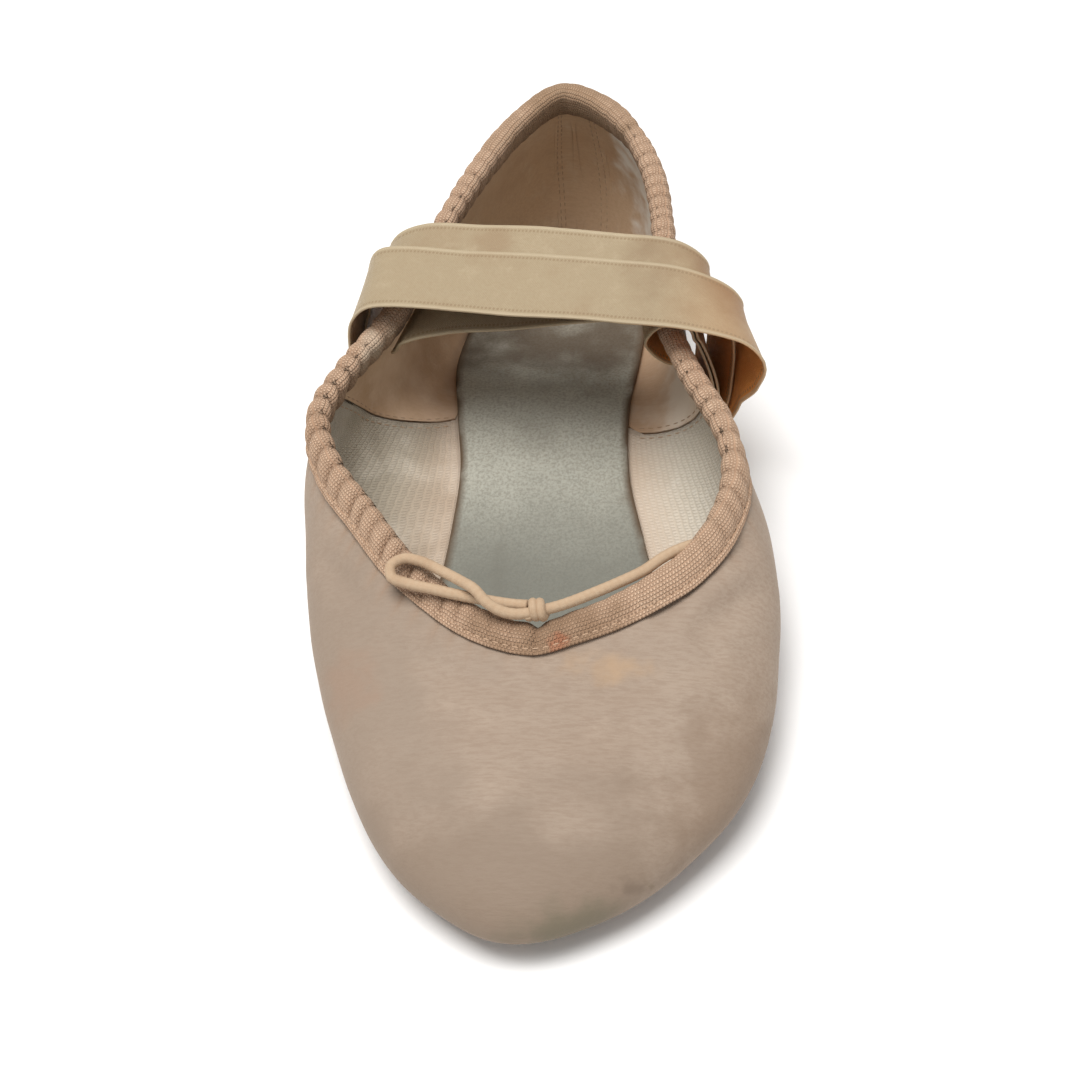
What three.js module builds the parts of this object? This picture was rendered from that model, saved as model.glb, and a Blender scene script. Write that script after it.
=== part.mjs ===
// A soft satin ballet slipper for the right foot, empty and standing on its suede sole.
// Millimetres, +Z up. The toe points along -Y and the big-toe side is +X.
// The shoe is sewn from an outsole, an upper that turns in over the outsole's rim, an insole, a casing
// bound over the upper's rim, a drawstring that leaves the casing at the throat, and two satin ribbons
// that are sewn inside the waist and wound round the shoe.
import * as THREE from "three";

// Overall sizes
const footLength = 236.5;
const ballWidth = 105;
const waistWidth = 80;
const heelWidth = 62;
const heelHeight = 53.5;
const throatHeight = 29.5;
const vampLength = 60.5;
const heelLean = 11;

// Wall, sole and casing
const wall = 1.4;
const clearance = 0.3;
const outsoleThickness = 1.8;
const outsoleBevel = 0.5;
const insoleThickness = 1.2;
const insoleMargin = 0.8;
const flangeWidth = 5;
const archHeight = 7;
const archCentre = 0.622 * footLength;
const archReach = 0.22 * footLength;
const toeSpring = 3;
const toeLine = 0.144 * footLength;
const casingDepth = 5.6;
const casingCap = 2.5;
const casingSkin = 1.3;
const casingBulge = 0.4;
const casingEase = 0.4;

// Drawstring
const cordDiameter = 2.4;
const cordSides = 8;
const cordStep = 2.4;
const knotLength = 6.2;
const knotWidth = 5.2;

// Ribbons
const ribbonWidth = 21;
const ribbonThickness = 0.5;
const ribbonSpacing = 0.5;
const ribbonPitch = ribbonThickness + ribbonSpacing;
const ribbonTuck = 2.5;
const ribbonCentre = archCentre;
const ribbonSlant = 0.155;
const ribbonEase = 1.4;
const ribbonTopEase = 0.8;
const ribbonWallEase = 2.5;

// Facets
const turns = 84;
const lowerSteps = 5;
const upperSteps = 7;
const soleStations = 40;
const solePoints = 400;
const bandStep = 3.2;

// One row for each section round the shoe, from the toe along the big-toe side to the heel and back along
// the little-toe side. Every length is a share of a named size.
//   width               the width that the row's three x columns are shares of
//   soleX, soleY        the outsole's edge; y is a share of footLength
//   sideX, sideY        the outline at its widest; y is a share of footLength
//   sideZ               height of that outline, a share of the rim's height there
//   rimX, rimY          the upper's rim; y runs from 0 at the throat to 1 at the heel
//   rimZ                height of the rim, from 0 at throatHeight to 1 at heelHeight
//   steep               slope of the wall at the rim, in degrees above level
//   belly               how far the wall rises before it turns in, a share of its chord
const columns = ["width", "soleX", "soleY", "sideX", "sideY", "sideZ", "rimX", "rimY", "rimZ", "steep", "belly"];
const sections = [
  [ballWidth, 0.019, 0.055, 0.02, 0, 0.305, 0.03, 0, 0, 14, 0.2],
  [ballWidth, 0.114, 0.059, 0.181, 0.025, 0.307, 0.095, 0.015, 0.021, 15, 0.2],
  [ballWidth, 0.21, 0.087, 0.319, 0.074, 0.323, 0.171, 0.035, 0.062, 18, 0.21],
  [ballWidth, 0.267, 0.146, 0.433, 0.14, 0.369, 0.248, 0.064, 0.125, 24, 0.23],
  [ballWidth, 0.286, 0.222, 0.486, 0.222, 0.412, 0.314, 0.097, 0.188, 32, 0.26],
  [ballWidth, 0.276, 0.307, 0.5, 0.309, 0.472, 0.376, 0.155, 0.271, 45, 0.3],
  [ballWidth, 0.252, 0.391, 0.481, 0.395, 0.519, 0.41, 0.23, 0.375, 60, 0.34],
  [ballWidth, 0.214, 0.467, 0.429, 0.471, 0.537, 0.386, 0.309, 0.479, 66, 0.36],
  [waistWidth, 0.231, 0.543, 0.487, 0.548, 0.535, 0.412, 0.406, 0.562, 66, 0.38],
  [waistWidth, 0.219, 0.628, 0.406, 0.632, 0.511, 0.335, 0.521, 0.646, 66, 0.38],
  [heelWidth, 0.306, 0.729, 0.465, 0.738, 0.458, 0.419, 0.673, 0.771, 72, 0.38],
  [heelWidth, 0.306, 0.835, 0.419, 0.844, 0.392, 0.355, 0.818, 0.896, 74, 0.38],
  [heelWidth, 0.21, 0.932, 0.266, 0.945, 0.349, 0.202, 0.939, 0.979, 76, 0.38],
  [heelWidth, -0.073, 0.983, -0.065, 1, 0.336, -0.032, 1, 1, 78, 0.38],
  [heelWidth, -0.3, 0.937, -0.33, 0.945, 0.352, -0.21, 0.93, 0.958, 76, 0.38],
  [heelWidth, -0.43, 0.835, -0.49, 0.844, 0.4, -0.355, 0.818, 0.854, 74, 0.38],
  [heelWidth, -0.468, 0.729, -0.575, 0.738, 0.463, -0.476, 0.679, 0.75, 72, 0.38],
  [waistWidth, -0.325, 0.628, -0.506, 0.641, 0.517, -0.456, 0.53, 0.625, 68, 0.38],
  [waistWidth, -0.294, 0.552, -0.594, 0.56, 0.537, -0.575, 0.433, 0.479, 66, 0.38],
  [ballWidth, -0.229, 0.484, -0.514, 0.48, 0.545, -0.486, 0.348, 0.375, 62, 0.36],
  [ballWidth, -0.243, 0.408, -0.5, 0.4, 0.521, -0.438, 0.264, 0.292, 54, 0.33],
  [ballWidth, -0.267, 0.323, -0.462, 0.311, 0.464, -0.352, 0.191, 0.208, 42, 0.29],
  [ballWidth, -0.267, 0.239, -0.405, 0.226, 0.424, -0.267, 0.118, 0.146, 32, 0.26],
  [ballWidth, -0.233, 0.159, -0.333, 0.146, 0.381, -0.19, 0.07, 0.083, 24, 0.23],
  [ballWidth, -0.167, 0.095, -0.233, 0.07, 0.328, -0.114, 0.03, 0.042, 18, 0.21],
  [ballWidth, -0.076, 0.061, -0.11, 0.021, 0.307, -0.038, 0.006, 0.021, 15, 0.2],
].map((row) => Object.fromEntries(row.map((value, i) => [columns[i], value])));

const up = new THREE.Vector3(0, 0, 1);

// Height of the sole's underside above the floor, at a distance y from the toe.
function lift(y) {
  const fromArch = Math.min(1, Math.abs(y - archCentre) / archReach);
  const fromToe = Math.max(0, (toeLine - y) / toeLine);
  return (archHeight * (1 + Math.cos(Math.PI * fromArch))) / 2 + toeSpring * fromToe ** 2;
}

// The guide points of one row of the table, and the slope and belly of its wall.
function guides(row) {
  const rimLength = footLength - heelLean - vampLength;
  const rimZ = throatHeight + row.rimZ * (heelHeight - throatHeight);
  return {
    sole: new THREE.Vector3(row.soleX * row.width, row.soleY * footLength, 0),
    side: new THREE.Vector3(row.sideX * row.width, row.sideY * footLength, row.sideZ * rimZ),
    rim: new THREE.Vector3(row.rimX * row.width, vampLength + row.rimY * rimLength, rimZ),
    slope: new THREE.Vector3(THREE.MathUtils.degToRad(row.steep), row.belly, 0),
  };
}

// How full the wall is below its widest point and how straight it runs to the rim, as shares of a curve's reach.
const lowerRound = 0.55;
const rimShoulder = 0.36;

const rows = sections.map(guides);
const closedCurve = (name) => new THREE.CatmullRomCurve3(rows.map((row) => row[name]), true, "catmullrom", 0.5);
const soleCurve = closedCurve("sole");
const sideCurve = closedCurve("side");
const rimCurve = closedCurve("rim");
const slopeCurve = closedCurve("slope");

// The closed line of the outsole, as points from which its width at any y is read.
const soleLine = soleCurve.getPoints(solePoints);

// The outsole's edge at y, on the +X side (sign 1) or the -X side (sign -1).
function soleEdge(y, sign) {
  let edge = -Infinity;
  for (let i = 1; i < soleLine.length; i++) {
    const [a, b] = [soleLine[i - 1], soleLine[i]];
    if ((a.y - y) * (b.y - y) > 0 || a.y === b.y) continue;
    edge = Math.max(edge, sign * (a.x + ((y - a.y) / (b.y - a.y)) * (b.x - a.x)));
  }
  return sign * edge;
}

const soleToe = Math.min(...soleLine.map((p) => p.y));
const soleHeel = Math.max(...soleLine.map((p) => p.y));

// Half of the wall's outer line at a turn: from the sole's edge to the widest point, or from there to the rim.
function wallCurves(turn) {
  const t = ((turn % 1) + 1) % 1;
  const [sole, side, rim, slope] = [soleCurve, sideCurve, rimCurve, slopeCurve].map((curve) => curve.getPoint(t));
  sole.z = lift(sole.y) + outsoleThickness + clearance;
  const outward = side.clone().sub(sole).setZ(0);
  const inward = rim.clone().sub(side).setZ(0).normalize();
  const chord = rim.distanceTo(side);
  const rimSlope = inward.multiplyScalar(Math.cos(slope.x)).addScaledVector(up, Math.sin(slope.x));
  return {
    sole,
    outward,
    rimSlope,
    lower: new THREE.CubicBezierCurve3(
      sole,
      sole.clone().addScaledVector(outward, lowerRound),
      side.clone().addScaledVector(up, lowerRound * (sole.z - side.z)),
      side,
    ),
    upper: new THREE.CubicBezierCurve3(
      side,
      side.clone().addScaledVector(up, chord * slope.y),
      rim.clone().addScaledVector(rimSlope, -chord * rimShoulder),
      rim,
    ),
  };
}

// The wall's outer line at a turn, from the flange under the insole up to the rim.
function wallLine(turn) {
  const { sole, outward, lower, upper } = wallCurves(turn);
  const inner = sole.clone().addScaledVector(outward.clone().normalize(), -flangeWidth);
  inner.z = lift(inner.y) + outsoleThickness + clearance;
  return [inner, ...lower.getPoints(lowerSteps), ...upper.getPoints(upperSteps).slice(1)];
}

// A point by the rim: `down` along the outer face from the rim, and `out` from that face.
function byRim(turn, down, out) {
  const step = 1e-3;
  const on = (t) => {
    const { upper, rimSlope } = wallCurves(t);
    if (down <= 0) return upper.v3.clone().addScaledVector(rimSlope, -down);
    return upper.getPointAt(Math.max(0, 1 - down / upper.getLength()));
  };
  const across = on(turn + step).sub(on(turn - step));
  const { upper, rimSlope } = wallCurves(turn);
  const rise = down <= 0 ? rimSlope : upper.getTangentAt(Math.max(0, 1 - down / upper.getLength()));
  const normal = across.cross(rise).normalize();
  return on(turn).addScaledVector(normal, out);
}

// A closed body through rings of points. A ring lists its points anticlockwise as seen from where the rings
// go. With `looped`, the last ring joins the first, and otherwise both ends are capped.
function bodyThrough(rings, looped) {
  const size = rings[0].length;
  const points = rings.flat();
  const faces = [];
  const last = looped ? rings.length : rings.length - 1;
  for (let i = 0; i < last; i++) {
    const here = i * size;
    const next = ((i + 1) % rings.length) * size;
    for (let j = 0; j < size; j++) {
      const k = (j + 1) % size;
      faces.push(here + j, here + k, next + k, here + j, next + k, next + j);
    }
  }
  if (!looped) {
    for (const [start, flip] of [[0, true], [(rings.length - 1) * size, false]]) {
      const centre = new THREE.Vector3();
      points.slice(start, start + size).forEach((p) => centre.addScaledVector(p, 1 / size));
      points.push(centre);
      for (let j = 0; j < size; j++) {
        const [a, b] = [start + j, start + ((j + 1) % size)];
        faces.push(...(flip ? [b, a] : [a, b]), points.length - 1);
      }
    }
  }
  const geometry = new THREE.BufferGeometry().setFromPoints(points);
  geometry.setIndex(faces);
  geometry.computeVertexNormals();
  return geometry;
}

const named = (name, geometry, color, roughness) => {
  const mesh = new THREE.Mesh(geometry, new THREE.MeshStandardMaterial({ color, roughness, metalness: 0 }));
  mesh.name = name;
  return mesh;
};

// A sole-shaped plate whose underside is `height` above the sole line, with its edge taken in by `margin`.
function plate(height, thickness, margin, bevel) {
  const rings = [];
  const [toe, heel] = [soleToe + margin, soleHeel - margin];
  for (let i = 0; i <= soleStations; i++) {
    const endGap = 0.002;
    const share = endGap + ((1 - 2 * endGap) * (1 - Math.cos((Math.PI * i) / soleStations))) / 2;
    const y = toe + share * (heel - toe);
    const scale = (soleHeel - soleToe) / (heel - toe);
    const yOnSole = soleToe + (y - toe) * scale;
    const [left, right] = [soleEdge(yOnSole, -1), soleEdge(yOnSole, 1)];
    const half = Math.max(0.4, (right - left) / 2 - margin);
    const middle = (left + right) / 2;
    const low = height + lift(y);
    const narrow = Math.max(0.3, half - bevel);
    rings.push(
      [
        [-narrow, 0],
        [-half, Math.min(bevel, thickness / 2)],
        [-half, thickness],
        [0, thickness],
        [half, thickness],
        [half, Math.min(bevel, thickness / 2)],
        [narrow, 0],
        [0, 0],
      ].map(([x, z]) => new THREE.Vector3(middle + x, y, low + z)),
    );
  }
  return bodyThrough(rings, false);
}

function outsole() {
  return named("outsole", plate(0, outsoleThickness, 0, outsoleBevel), 0x8d8178, 0.95);
}

function insole() {
  const height = outsoleThickness + clearance + wall + clearance;
  return named("insole", plate(height, insoleThickness, insoleMargin, 0), 0x8f9088, 0.97);
}

// The upper: one wall, with its inner face set off from the outer one along the normal.
function upper() {
  const lines = Array.from({ length: turns }, (_, i) => wallLine(i / turns));
  const rings = lines.map((line, i) => {
    const [before, after] = [lines[(i + turns - 1) % turns], lines[(i + 1) % turns]];
    const inner = line.map((point, j) => {
      const along = line[Math.min(j + 1, line.length - 1)].clone().sub(line[Math.max(j - 1, 0)]);
      const normal = after[j].clone().sub(before[j]).cross(along).normalize();
      return point.clone().addScaledVector(normal, -wall);
    });
    return [...line, ...inner.reverse()].reverse();
  });
  return named("upper", bodyThrough(rings, true), 0xd9b79f, 0.6);
}

// The casing that binds the rim: a rounded roll with a slot for the wall.
function casing() {
  const inside = -wall - casingEase;
  const lip = casingEase + casingSkin;
  const bulge = lip + casingBulge;
  const outline = [
    [casingDepth, casingEase],
    [casingDepth, lip],
    [casingDepth / 2, bulge],
    [0, bulge],
    [-0.75 * casingCap, bulge / 2],
    [-casingCap, -wall / 2],
    [-0.75 * casingCap, -wall - bulge / 2],
    [0, -wall - bulge],
    [casingDepth / 2, -wall - bulge],
    [casingDepth, -wall - lip],
    [casingDepth, inside],
    [casingDepth / 2, inside],
    [-casingEase, inside],
    [-casingEase, casingEase],
    [casingDepth / 2, casingEase],
  ];
  const rings = Array.from({ length: turns }, (_, i) =>
    outline.map(([down, out]) => byRim(i / turns, down, out)).reverse(),
  );
  return named("casing", bodyThrough(rings, true), 0xe0b496, 0.9);
}

// A flat band through stops. Each stop has the band's middle, `at`, and the direction of its width, `edge`.
function bandThrough(stops) {
  const path = new THREE.CatmullRomCurve3(stops.map((stop) => stop.at), false, "centripetal");
  const edges = new THREE.CatmullRomCurve3(stops.map((stop) => stop.edge), false, "centripetal");
  const steps = Math.round(path.getLength() / bandStep);
  const rings = Array.from({ length: steps + 1 }, (_, i) => {
    const t = path.getUtoTmapping(i / steps);
    const along = path.getTangent(t);
    const edge = edges.getPoint(t);
    edge.addScaledVector(along, -edge.dot(along)).setLength(ribbonWidth / 2);
    const face = edge.clone().cross(along).setLength(ribbonThickness / 2);
    const middle = path.getPoint(t);
    return [[1, -1], [-1, -1], [-1, 1], [1, 1]].map(([across, out]) =>
      middle.clone().addScaledVector(edge, across).addScaledVector(face, out),
    );
  });
  return bodyThrough(rings, false);
}

// The turn at which the rim passes y, on the +X side (sign 1) or the -X side (sign -1).
function rimTurn(y, sign) {
  let [low, high] = [0, 0.5];
  for (let i = 0; i < 40; i++) {
    const middle = (low + high) / 2;
    if (rimCurve.getPoint(sign > 0 ? middle : 1 - middle).y < y) low = middle;
    else high = middle;
  }
  return sign > 0 ? low : 1 - low;
}

// How high a ribbon runs under the arch, in layers counted down from the sole.
const archRoom = 0.81;
const under = (layer) => archHeight * archRoom - clearance - ribbonThickness / 2 - layer * ribbonPitch;

// Stops from inside the wall, up past the casing, across its top and down outside it.
function stopsByCasing(y, sign, layer) {
  const turn = rimTurn(y, sign);
  const gap = clearance + ribbonThickness / 2 + layer * ribbonPitch;
  const bulge = casingEase + casingSkin + casingBulge;
  const eased = gap + ribbonEase;
  const edge = byRim(turn + 1e-3, 0, 0).sub(byRim(turn - 1e-3, 0, 0)).multiplyScalar(sign).normalize();
  return [
    [casingDepth + ribbonTuck, -wall - gap - bulge / 2],
    [casingDepth + ribbonTuck / 2, -wall - gap - bulge],
    [casingDepth / 2, -wall - bulge - eased],
    [-casingCap / 2, -wall - bulge - eased],
    [-casingCap - 1.4 * gap - ribbonTopEase, -wall / 2],
    [-casingCap / 2, bulge + eased],
    [casingDepth, bulge + eased],
  ].map(([down, out]) => ({ at: byRim(turn, down, out), edge }));
}

// Stops down the outside of the big-toe side's wall and in under the arch.
function stopsDownWall(y, layer) {
  const turn = rimTurn(y, 1);
  const gap = ribbonWallEase + ribbonThickness + layer * ribbonPitch;
  const wallAt = (t, share) => wallCurves(t).lower.getPoint(share);
  return [
    [1, gap, 0],
    [0.5, gap * 0.8, -gap * 0.6],
    [0, gap * 0.6, gap * 0.1],
    [0, -gap * 5, 0],
  ].map(([share, across, rise]) => {
    const at = wallAt(turn, share);
    const edge = wallAt(turn + 1e-3, share).sub(wallAt(turn - 1e-3, share)).setZ(0).normalize();
    at.x += across;
    at.y = y;
    at.z = share > 0 ? at.z + rise : under(layer) + rise;
    return { at, edge };
  });
}

// One turn of a ribbon round the waist, from under the arch up the little-toe side, over the opening and
// down the big-toe side.
//   across   sideways, a share of the snug reach to that side
//   level    height, from 0 under the arch to 1 at the turn's top
//   loose    how much of the turn's slack on that side is taken up
//   corner   how much of the turn's wider or tighter bend over the little-toe side's casing is taken up
//   back     how much of the turn's slant and of its shift towards the heel is taken up
//   lean     how far in the rear edge leans, a share of ribbonWidth
//   rise     how much higher the rear edge is, a share of ribbonWidth
const turnColumns = ["across", "level", "loose", "corner", "back", "lean", "rise"];
const turnStops = [
  [-0.3, 0, 0, 0, 0.1, 0, 0],
  [-0.62, 0, 0, 0, 0.15, 0.05, 0],
  [-0.79, 0.045, 0.6, 0, 0.2, 0.12, 0],
  [-0.95, 0.16, 1, 0, 0.3, 0.2, 0],
  [-1.03, 0.32, 1, 0, 0.42, 0.2, 0],
  [-1.02, 0.52, 1, 0, 0.6, 0.17, 0.02],
  [-1, 0.7, 1, 0.1, 0.85, 0.15, 0.05],
  [-0.95, 0.87, 1, 0.35, 1, 0.08, 0.1],
  [-0.81, 0.96, 0.8, 1, 1, 0.02, 0.13],
  [-0.4, 0.99, 0.2, 0.2, 1, 0, 0.13],
  [0, 1, 0, 0, 1, 0, 0.13],
  [0.4, 1, 0, 0, 1, 0, 0.1],
  [0.75, 0.985, 0.3, 0, 1, -0.08, 0.05],
  [0.93, 0.915, 0.8, 0, 1, -0.18, -0.07],
  [0.98, 0.83, 1, 0, 1, -0.28, -0.08],
  [1, 0.72, 0.8, 0, 0.85, -0.3, 0],
  [1, 0.57, 0.4, 0, 0.5, -0.28, 0],
  [0.98, 0.4, 0.2, 0, 0.2, -0.26, 0],
  [0.9, 0.2, 0.16, 0, 0.05, -0.24, 0],
  [0.74, 0.06, 0.12, 0, 0, -0.12, 0],
  [0.45, 0, 0, 0, 0, -0.05, 0],
  [0.1, 0, 0, 0, 0, 0, 0],
].map((row) => Object.fromEntries(row.map((value, i) => [turnColumns[i], value])));

// The snug reach of a turn to either side, and the turns of the big-toe side's ribbon, the inner one first.
//   slackLittleToe, slackBigToe   slack on either side, a share of ribbonWidth
//   corner                        how much wider it bends over that casing, a share of ribbonWidth
//   top                           the turn's top, a share of heelHeight
//   shift                         its shift towards the heel, a share of ribbonWidth
//   lie                           how much of the rear edge's rise is kept
//   from, to                      the layers that it leaves and enters under the arch
const snugLittleToe = 0.53 * waistWidth;
const snugBigToe = 0.482 * waistWidth;
const turnsRound = [
  { slackLittleToe: 0, slackBigToe: 0.05, corner: -0.13, top: 0.989, shift: 0.36, lie: 1, from: 0, to: 2 },
  { slackLittleToe: 0.105, slackBigToe: 0.41, corner: 0.2, top: 1.014, shift: -0.18, lie: 0.4, from: 2, to: 3 },
];

function stopsRound(round) {
  return turnStops.map((stop, i) => {
    const bottom = under(i < turnStops.length / 2 ? round.from : round.to);
    const slack = stop.loose * ribbonWidth;
    const x =
      stop.across < 0
        ? stop.across * snugLittleToe - slack * round.slackLittleToe - stop.corner * round.corner * ribbonWidth
        : stop.across * snugBigToe + slack * round.slackBigToe;
    const y = ribbonCentre + stop.back * (round.shift * ribbonWidth - ribbonSlant * x);
    const z = bottom + stop.level * (round.top * heelHeight - bottom);
    return { at: new THREE.Vector3(x, y, z), edge: new THREE.Vector3(stop.lean, 1, stop.rise * round.lie) };
  });
}

// The last stop of a ribbon that ends under the arch.
function endUnderArch(layer) {
  const [across, back] = [-0.42 * snugLittleToe, 0.08 * ribbonWidth];
  return { at: new THREE.Vector3(across, ribbonCentre + back, under(layer)), edge: new THREE.Vector3(0, 1, 0) };
}

// The ribbon sewn inside the big-toe side's wall goes out over the casing, under the arch and twice round.
function bigToeRibbon() {
  const stops = [
    ...stopsByCasing(ribbonCentre, 1, 0),
    ...stopsDownWall(ribbonCentre, 0),
    ...turnsRound.flatMap(stopsRound),
    endUnderArch(3),
  ];
  return named("ribbon_big_toe_side", bandThrough(stops), 0xcdb99b, 0.5);
}

// How that ribbon crosses the opening: across as a share of the snug reach, back as a share of ribbonWidth
// and level as a share of heelHeight.
const crossingStops = [
  [-0.566, 0.17, 0.825],
  [-0.189, 0.08, 0.882],
  [0.189, 0.06, 0.912],
  [0.44, 0.06, 0.92],
];

// The ribbon sewn inside the little-toe side's wall goes across the opening below the turns, out over the
// casing on the big-toe side and in under the arch, where it ends.
function littleToeRibbon() {
  const crossing = crossingStops.map(([across, back, level]) => ({
    at: new THREE.Vector3(across * snugLittleToe, ribbonCentre + back * ribbonWidth, level * heelHeight),
    edge: new THREE.Vector3(0, 1, 0.12),
  }));
  const stops = [
    ...stopsByCasing(ribbonCentre + 0.23 * ribbonWidth, -1, 0).slice(0, 3),
    ...crossing,
    ...stopsByCasing(ribbonCentre, 1, 1).slice(4),
    ...stopsDownWall(ribbonCentre, 1),
    endUnderArch(1),
  ];
  return named("ribbon_little_toe_side", bandThrough(stops), 0xcdb99b, 0.5);
}

// The drawstring lies by the throat. Its places are counted in cord diameters: to the big-toe side, back from
// the throat and up from its height.
const throat = new THREE.Vector3(0, vampLength, throatHeight);
const byThroat = (place) => new THREE.Vector3(...place).multiplyScalar(cordDiameter).add(throat);

// The drawstring's strand from the knot to where it goes back into the casing on the big-toe side.
const strandRoute = [
  [2.92, 1.29, 1.79],
  [4.17, 2.12, 1.71],
  [5.83, 3.21, 1.62],
  [7.92, 4.38, 1.71],
  [10, 5.62, 1.88],
  [11.67, 6.88, 2.25],
];

// The drawstring's loop: out from the knot over the casing on the little-toe side and back below itself.
const loopRoute = [
  [-0.21, 0.29, 1.96],
  [-1.67, 0.37, 2.25],
  [-2.92, 0.92, 2.79],
  [-4, 1.96, 3.25],
  [-5.33, 3.12, 3.04],
  [-7.29, 4.54, 2.87],
  [-9.17, 5.62, 2.87],
  [-10.67, 5.96, 2.79],
  [-11.67, 5.38, 2.54],
  [-11.5, 4.29, 2.21],
  [-10, 3.71, 2.04],
  [-7.71, 3.04, 2.04],
  [-5.62, 2.46, 2],
  [-3.96, 2.12, 1.92],
  [-2.29, 1.88, 1.75],
  [-0.21, 1.46, 1.83],
];
const knotPlace = [1.33, 0.87, 1.87];

// A round cord through a route's points.
function cordThrough(name, route) {
  const points = route.map(byThroat);
  const path = new THREE.CatmullRomCurve3(points, false, "centripetal");
  const section = new THREE.Shape(
    Array.from({ length: cordSides }, (_, i) => {
      const angle = (2 * Math.PI * i) / cordSides;
      return new THREE.Vector2(Math.cos(angle), Math.sin(angle)).multiplyScalar(cordDiameter / 2);
    }),
  );
  const steps = Math.round(path.getLength() / cordStep);
  const geometry = new THREE.ExtrudeGeometry(section, { steps, extrudePath: path, bevelEnabled: false });
  return named(name, geometry, 0xd8c0a0, 0.85);
}

// The knot, as a barrel with a waist between its two wraps.
function knot() {
  const half = knotLength / 2;
  const radius = knotWidth / 2;
  const profile = [[0, -1], [0.6, -1], [1, -0.5], [0.85, 0], [1, 0.5], [0.6, 1], [0, 1]];
  const barrel = profile.map(([across, along]) => new THREE.Vector2(across * radius, along * half));
  const mesh = named("drawstring_knot", new THREE.LatheGeometry(barrel, 12), 0xd8c0a0, 0.85);
  mesh.rotation.z = -Math.PI / 2;
  mesh.position.copy(byThroat(knotPlace));
  return mesh;
}

const shoe = new THREE.Group();
shoe.add(outsole(), insole(), upper(), casing());
shoe.add(bigToeRibbon(), littleToeRibbon());
shoe.add(cordThrough("drawstring_strand", strandRoute), cordThrough("drawstring_loop", loopRoute), knot());

// The origin is the middle of the shoe's box, on the floor.
const box = new THREE.Box3().setFromObject(shoe);
const middle = box.getCenter(new THREE.Vector3());
shoe.position.set(-middle.x, -middle.y, 0);

export default shoe;
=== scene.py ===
"""The looks of a soft satin ballet slipper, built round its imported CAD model.

Lengths are millimetres in the slipper's own frame until a mesh is placed: the toe tip is at y = 0 and the
toe points along -Y, the big-toe side is +X, and the floor is at z = 0.
"""
import logging
import math
from dataclasses import dataclass
from enum import Enum
from functools import cache
from typing import Callable, Optional, Sequence

import bpy
import numpy as np
from mathutils import Matrix, Vector


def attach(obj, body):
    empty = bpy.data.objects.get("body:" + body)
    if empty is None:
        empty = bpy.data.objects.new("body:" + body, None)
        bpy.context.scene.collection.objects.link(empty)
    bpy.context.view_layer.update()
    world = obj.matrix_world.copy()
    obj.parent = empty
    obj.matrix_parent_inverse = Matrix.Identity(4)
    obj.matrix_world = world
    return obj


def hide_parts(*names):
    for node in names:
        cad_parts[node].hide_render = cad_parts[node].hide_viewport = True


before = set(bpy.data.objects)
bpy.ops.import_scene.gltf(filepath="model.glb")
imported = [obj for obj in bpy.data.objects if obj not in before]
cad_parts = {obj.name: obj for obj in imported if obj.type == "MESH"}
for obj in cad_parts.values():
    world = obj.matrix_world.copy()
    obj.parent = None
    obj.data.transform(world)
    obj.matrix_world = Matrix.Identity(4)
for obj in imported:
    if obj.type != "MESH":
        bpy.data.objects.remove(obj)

log = logging.getLogger("slipper")
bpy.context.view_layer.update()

# A millimetre in metres, and where the slipper's own origin lies in the row's frame, in millimetres
MM = 0.001
SHIFT = np.array([0.856, -118.25, 0.0])

Point = tuple[float, float, float]
Colour = tuple[float, float, float, float]
Route = Sequence[Sequence[float]]
Stops = list[tuple[np.ndarray, np.ndarray]]
Relief = Callable[[np.ndarray, np.ndarray, np.ndarray], tuple[np.ndarray, np.ndarray]]


class Side(Enum):
    """The two sides of the foot."""

    BIG_TOE = 1
    LITTLE_TOE = -1


class Slot(Enum):
    """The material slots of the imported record."""

    SATIN = "satin"
    SOLE = "suede_sole"
    SOCK = "suede_sock"
    TAPE = "tape"
    RIBBON = "ribbon"
    CORD = "cord"


# Curves and meshes


def hermite(p1: np.ndarray, p2: np.ndarray, m1: np.ndarray, m2: np.ndarray, w: np.ndarray) -> np.ndarray:
    """Reads one stretch of a smooth curve.

    Args:
        p1: where it starts.
        p2: where it ends.
        m1: its slope at the start.
        m2: its slope at the end.
        w: where to read it, 0 to 1.

    Returns:
        The readings.
    """
    start = (2 * w**3 - 3 * w**2 + 1) * p1 + (w**3 - 2 * w**2 + w) * m1
    return start + (3 * w**2 - 2 * w**3) * p2 + (w**3 - w**2) * m2


def closed_spline(points: np.ndarray, turn: np.ndarray) -> np.ndarray:
    """Reads a closed Catmull-Rom curve.

    Args:
        points: the curve's own points, one a row.
        turn: where to read it, 0 to 1 once round.

    Returns:
        One row for each turn.
    """
    count = len(points)
    place = (np.asarray(turn, float) % 1.0) * count
    first = np.floor(place).astype(int)
    w = (place - first)[:, None]
    p0, p1, p2, p3 = (points[(first + k) % count] for k in (-1, 0, 1, 2))
    return hermite(p1, p2, 0.5 * (p2 - p0), 0.5 * (p3 - p1), w)


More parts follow.
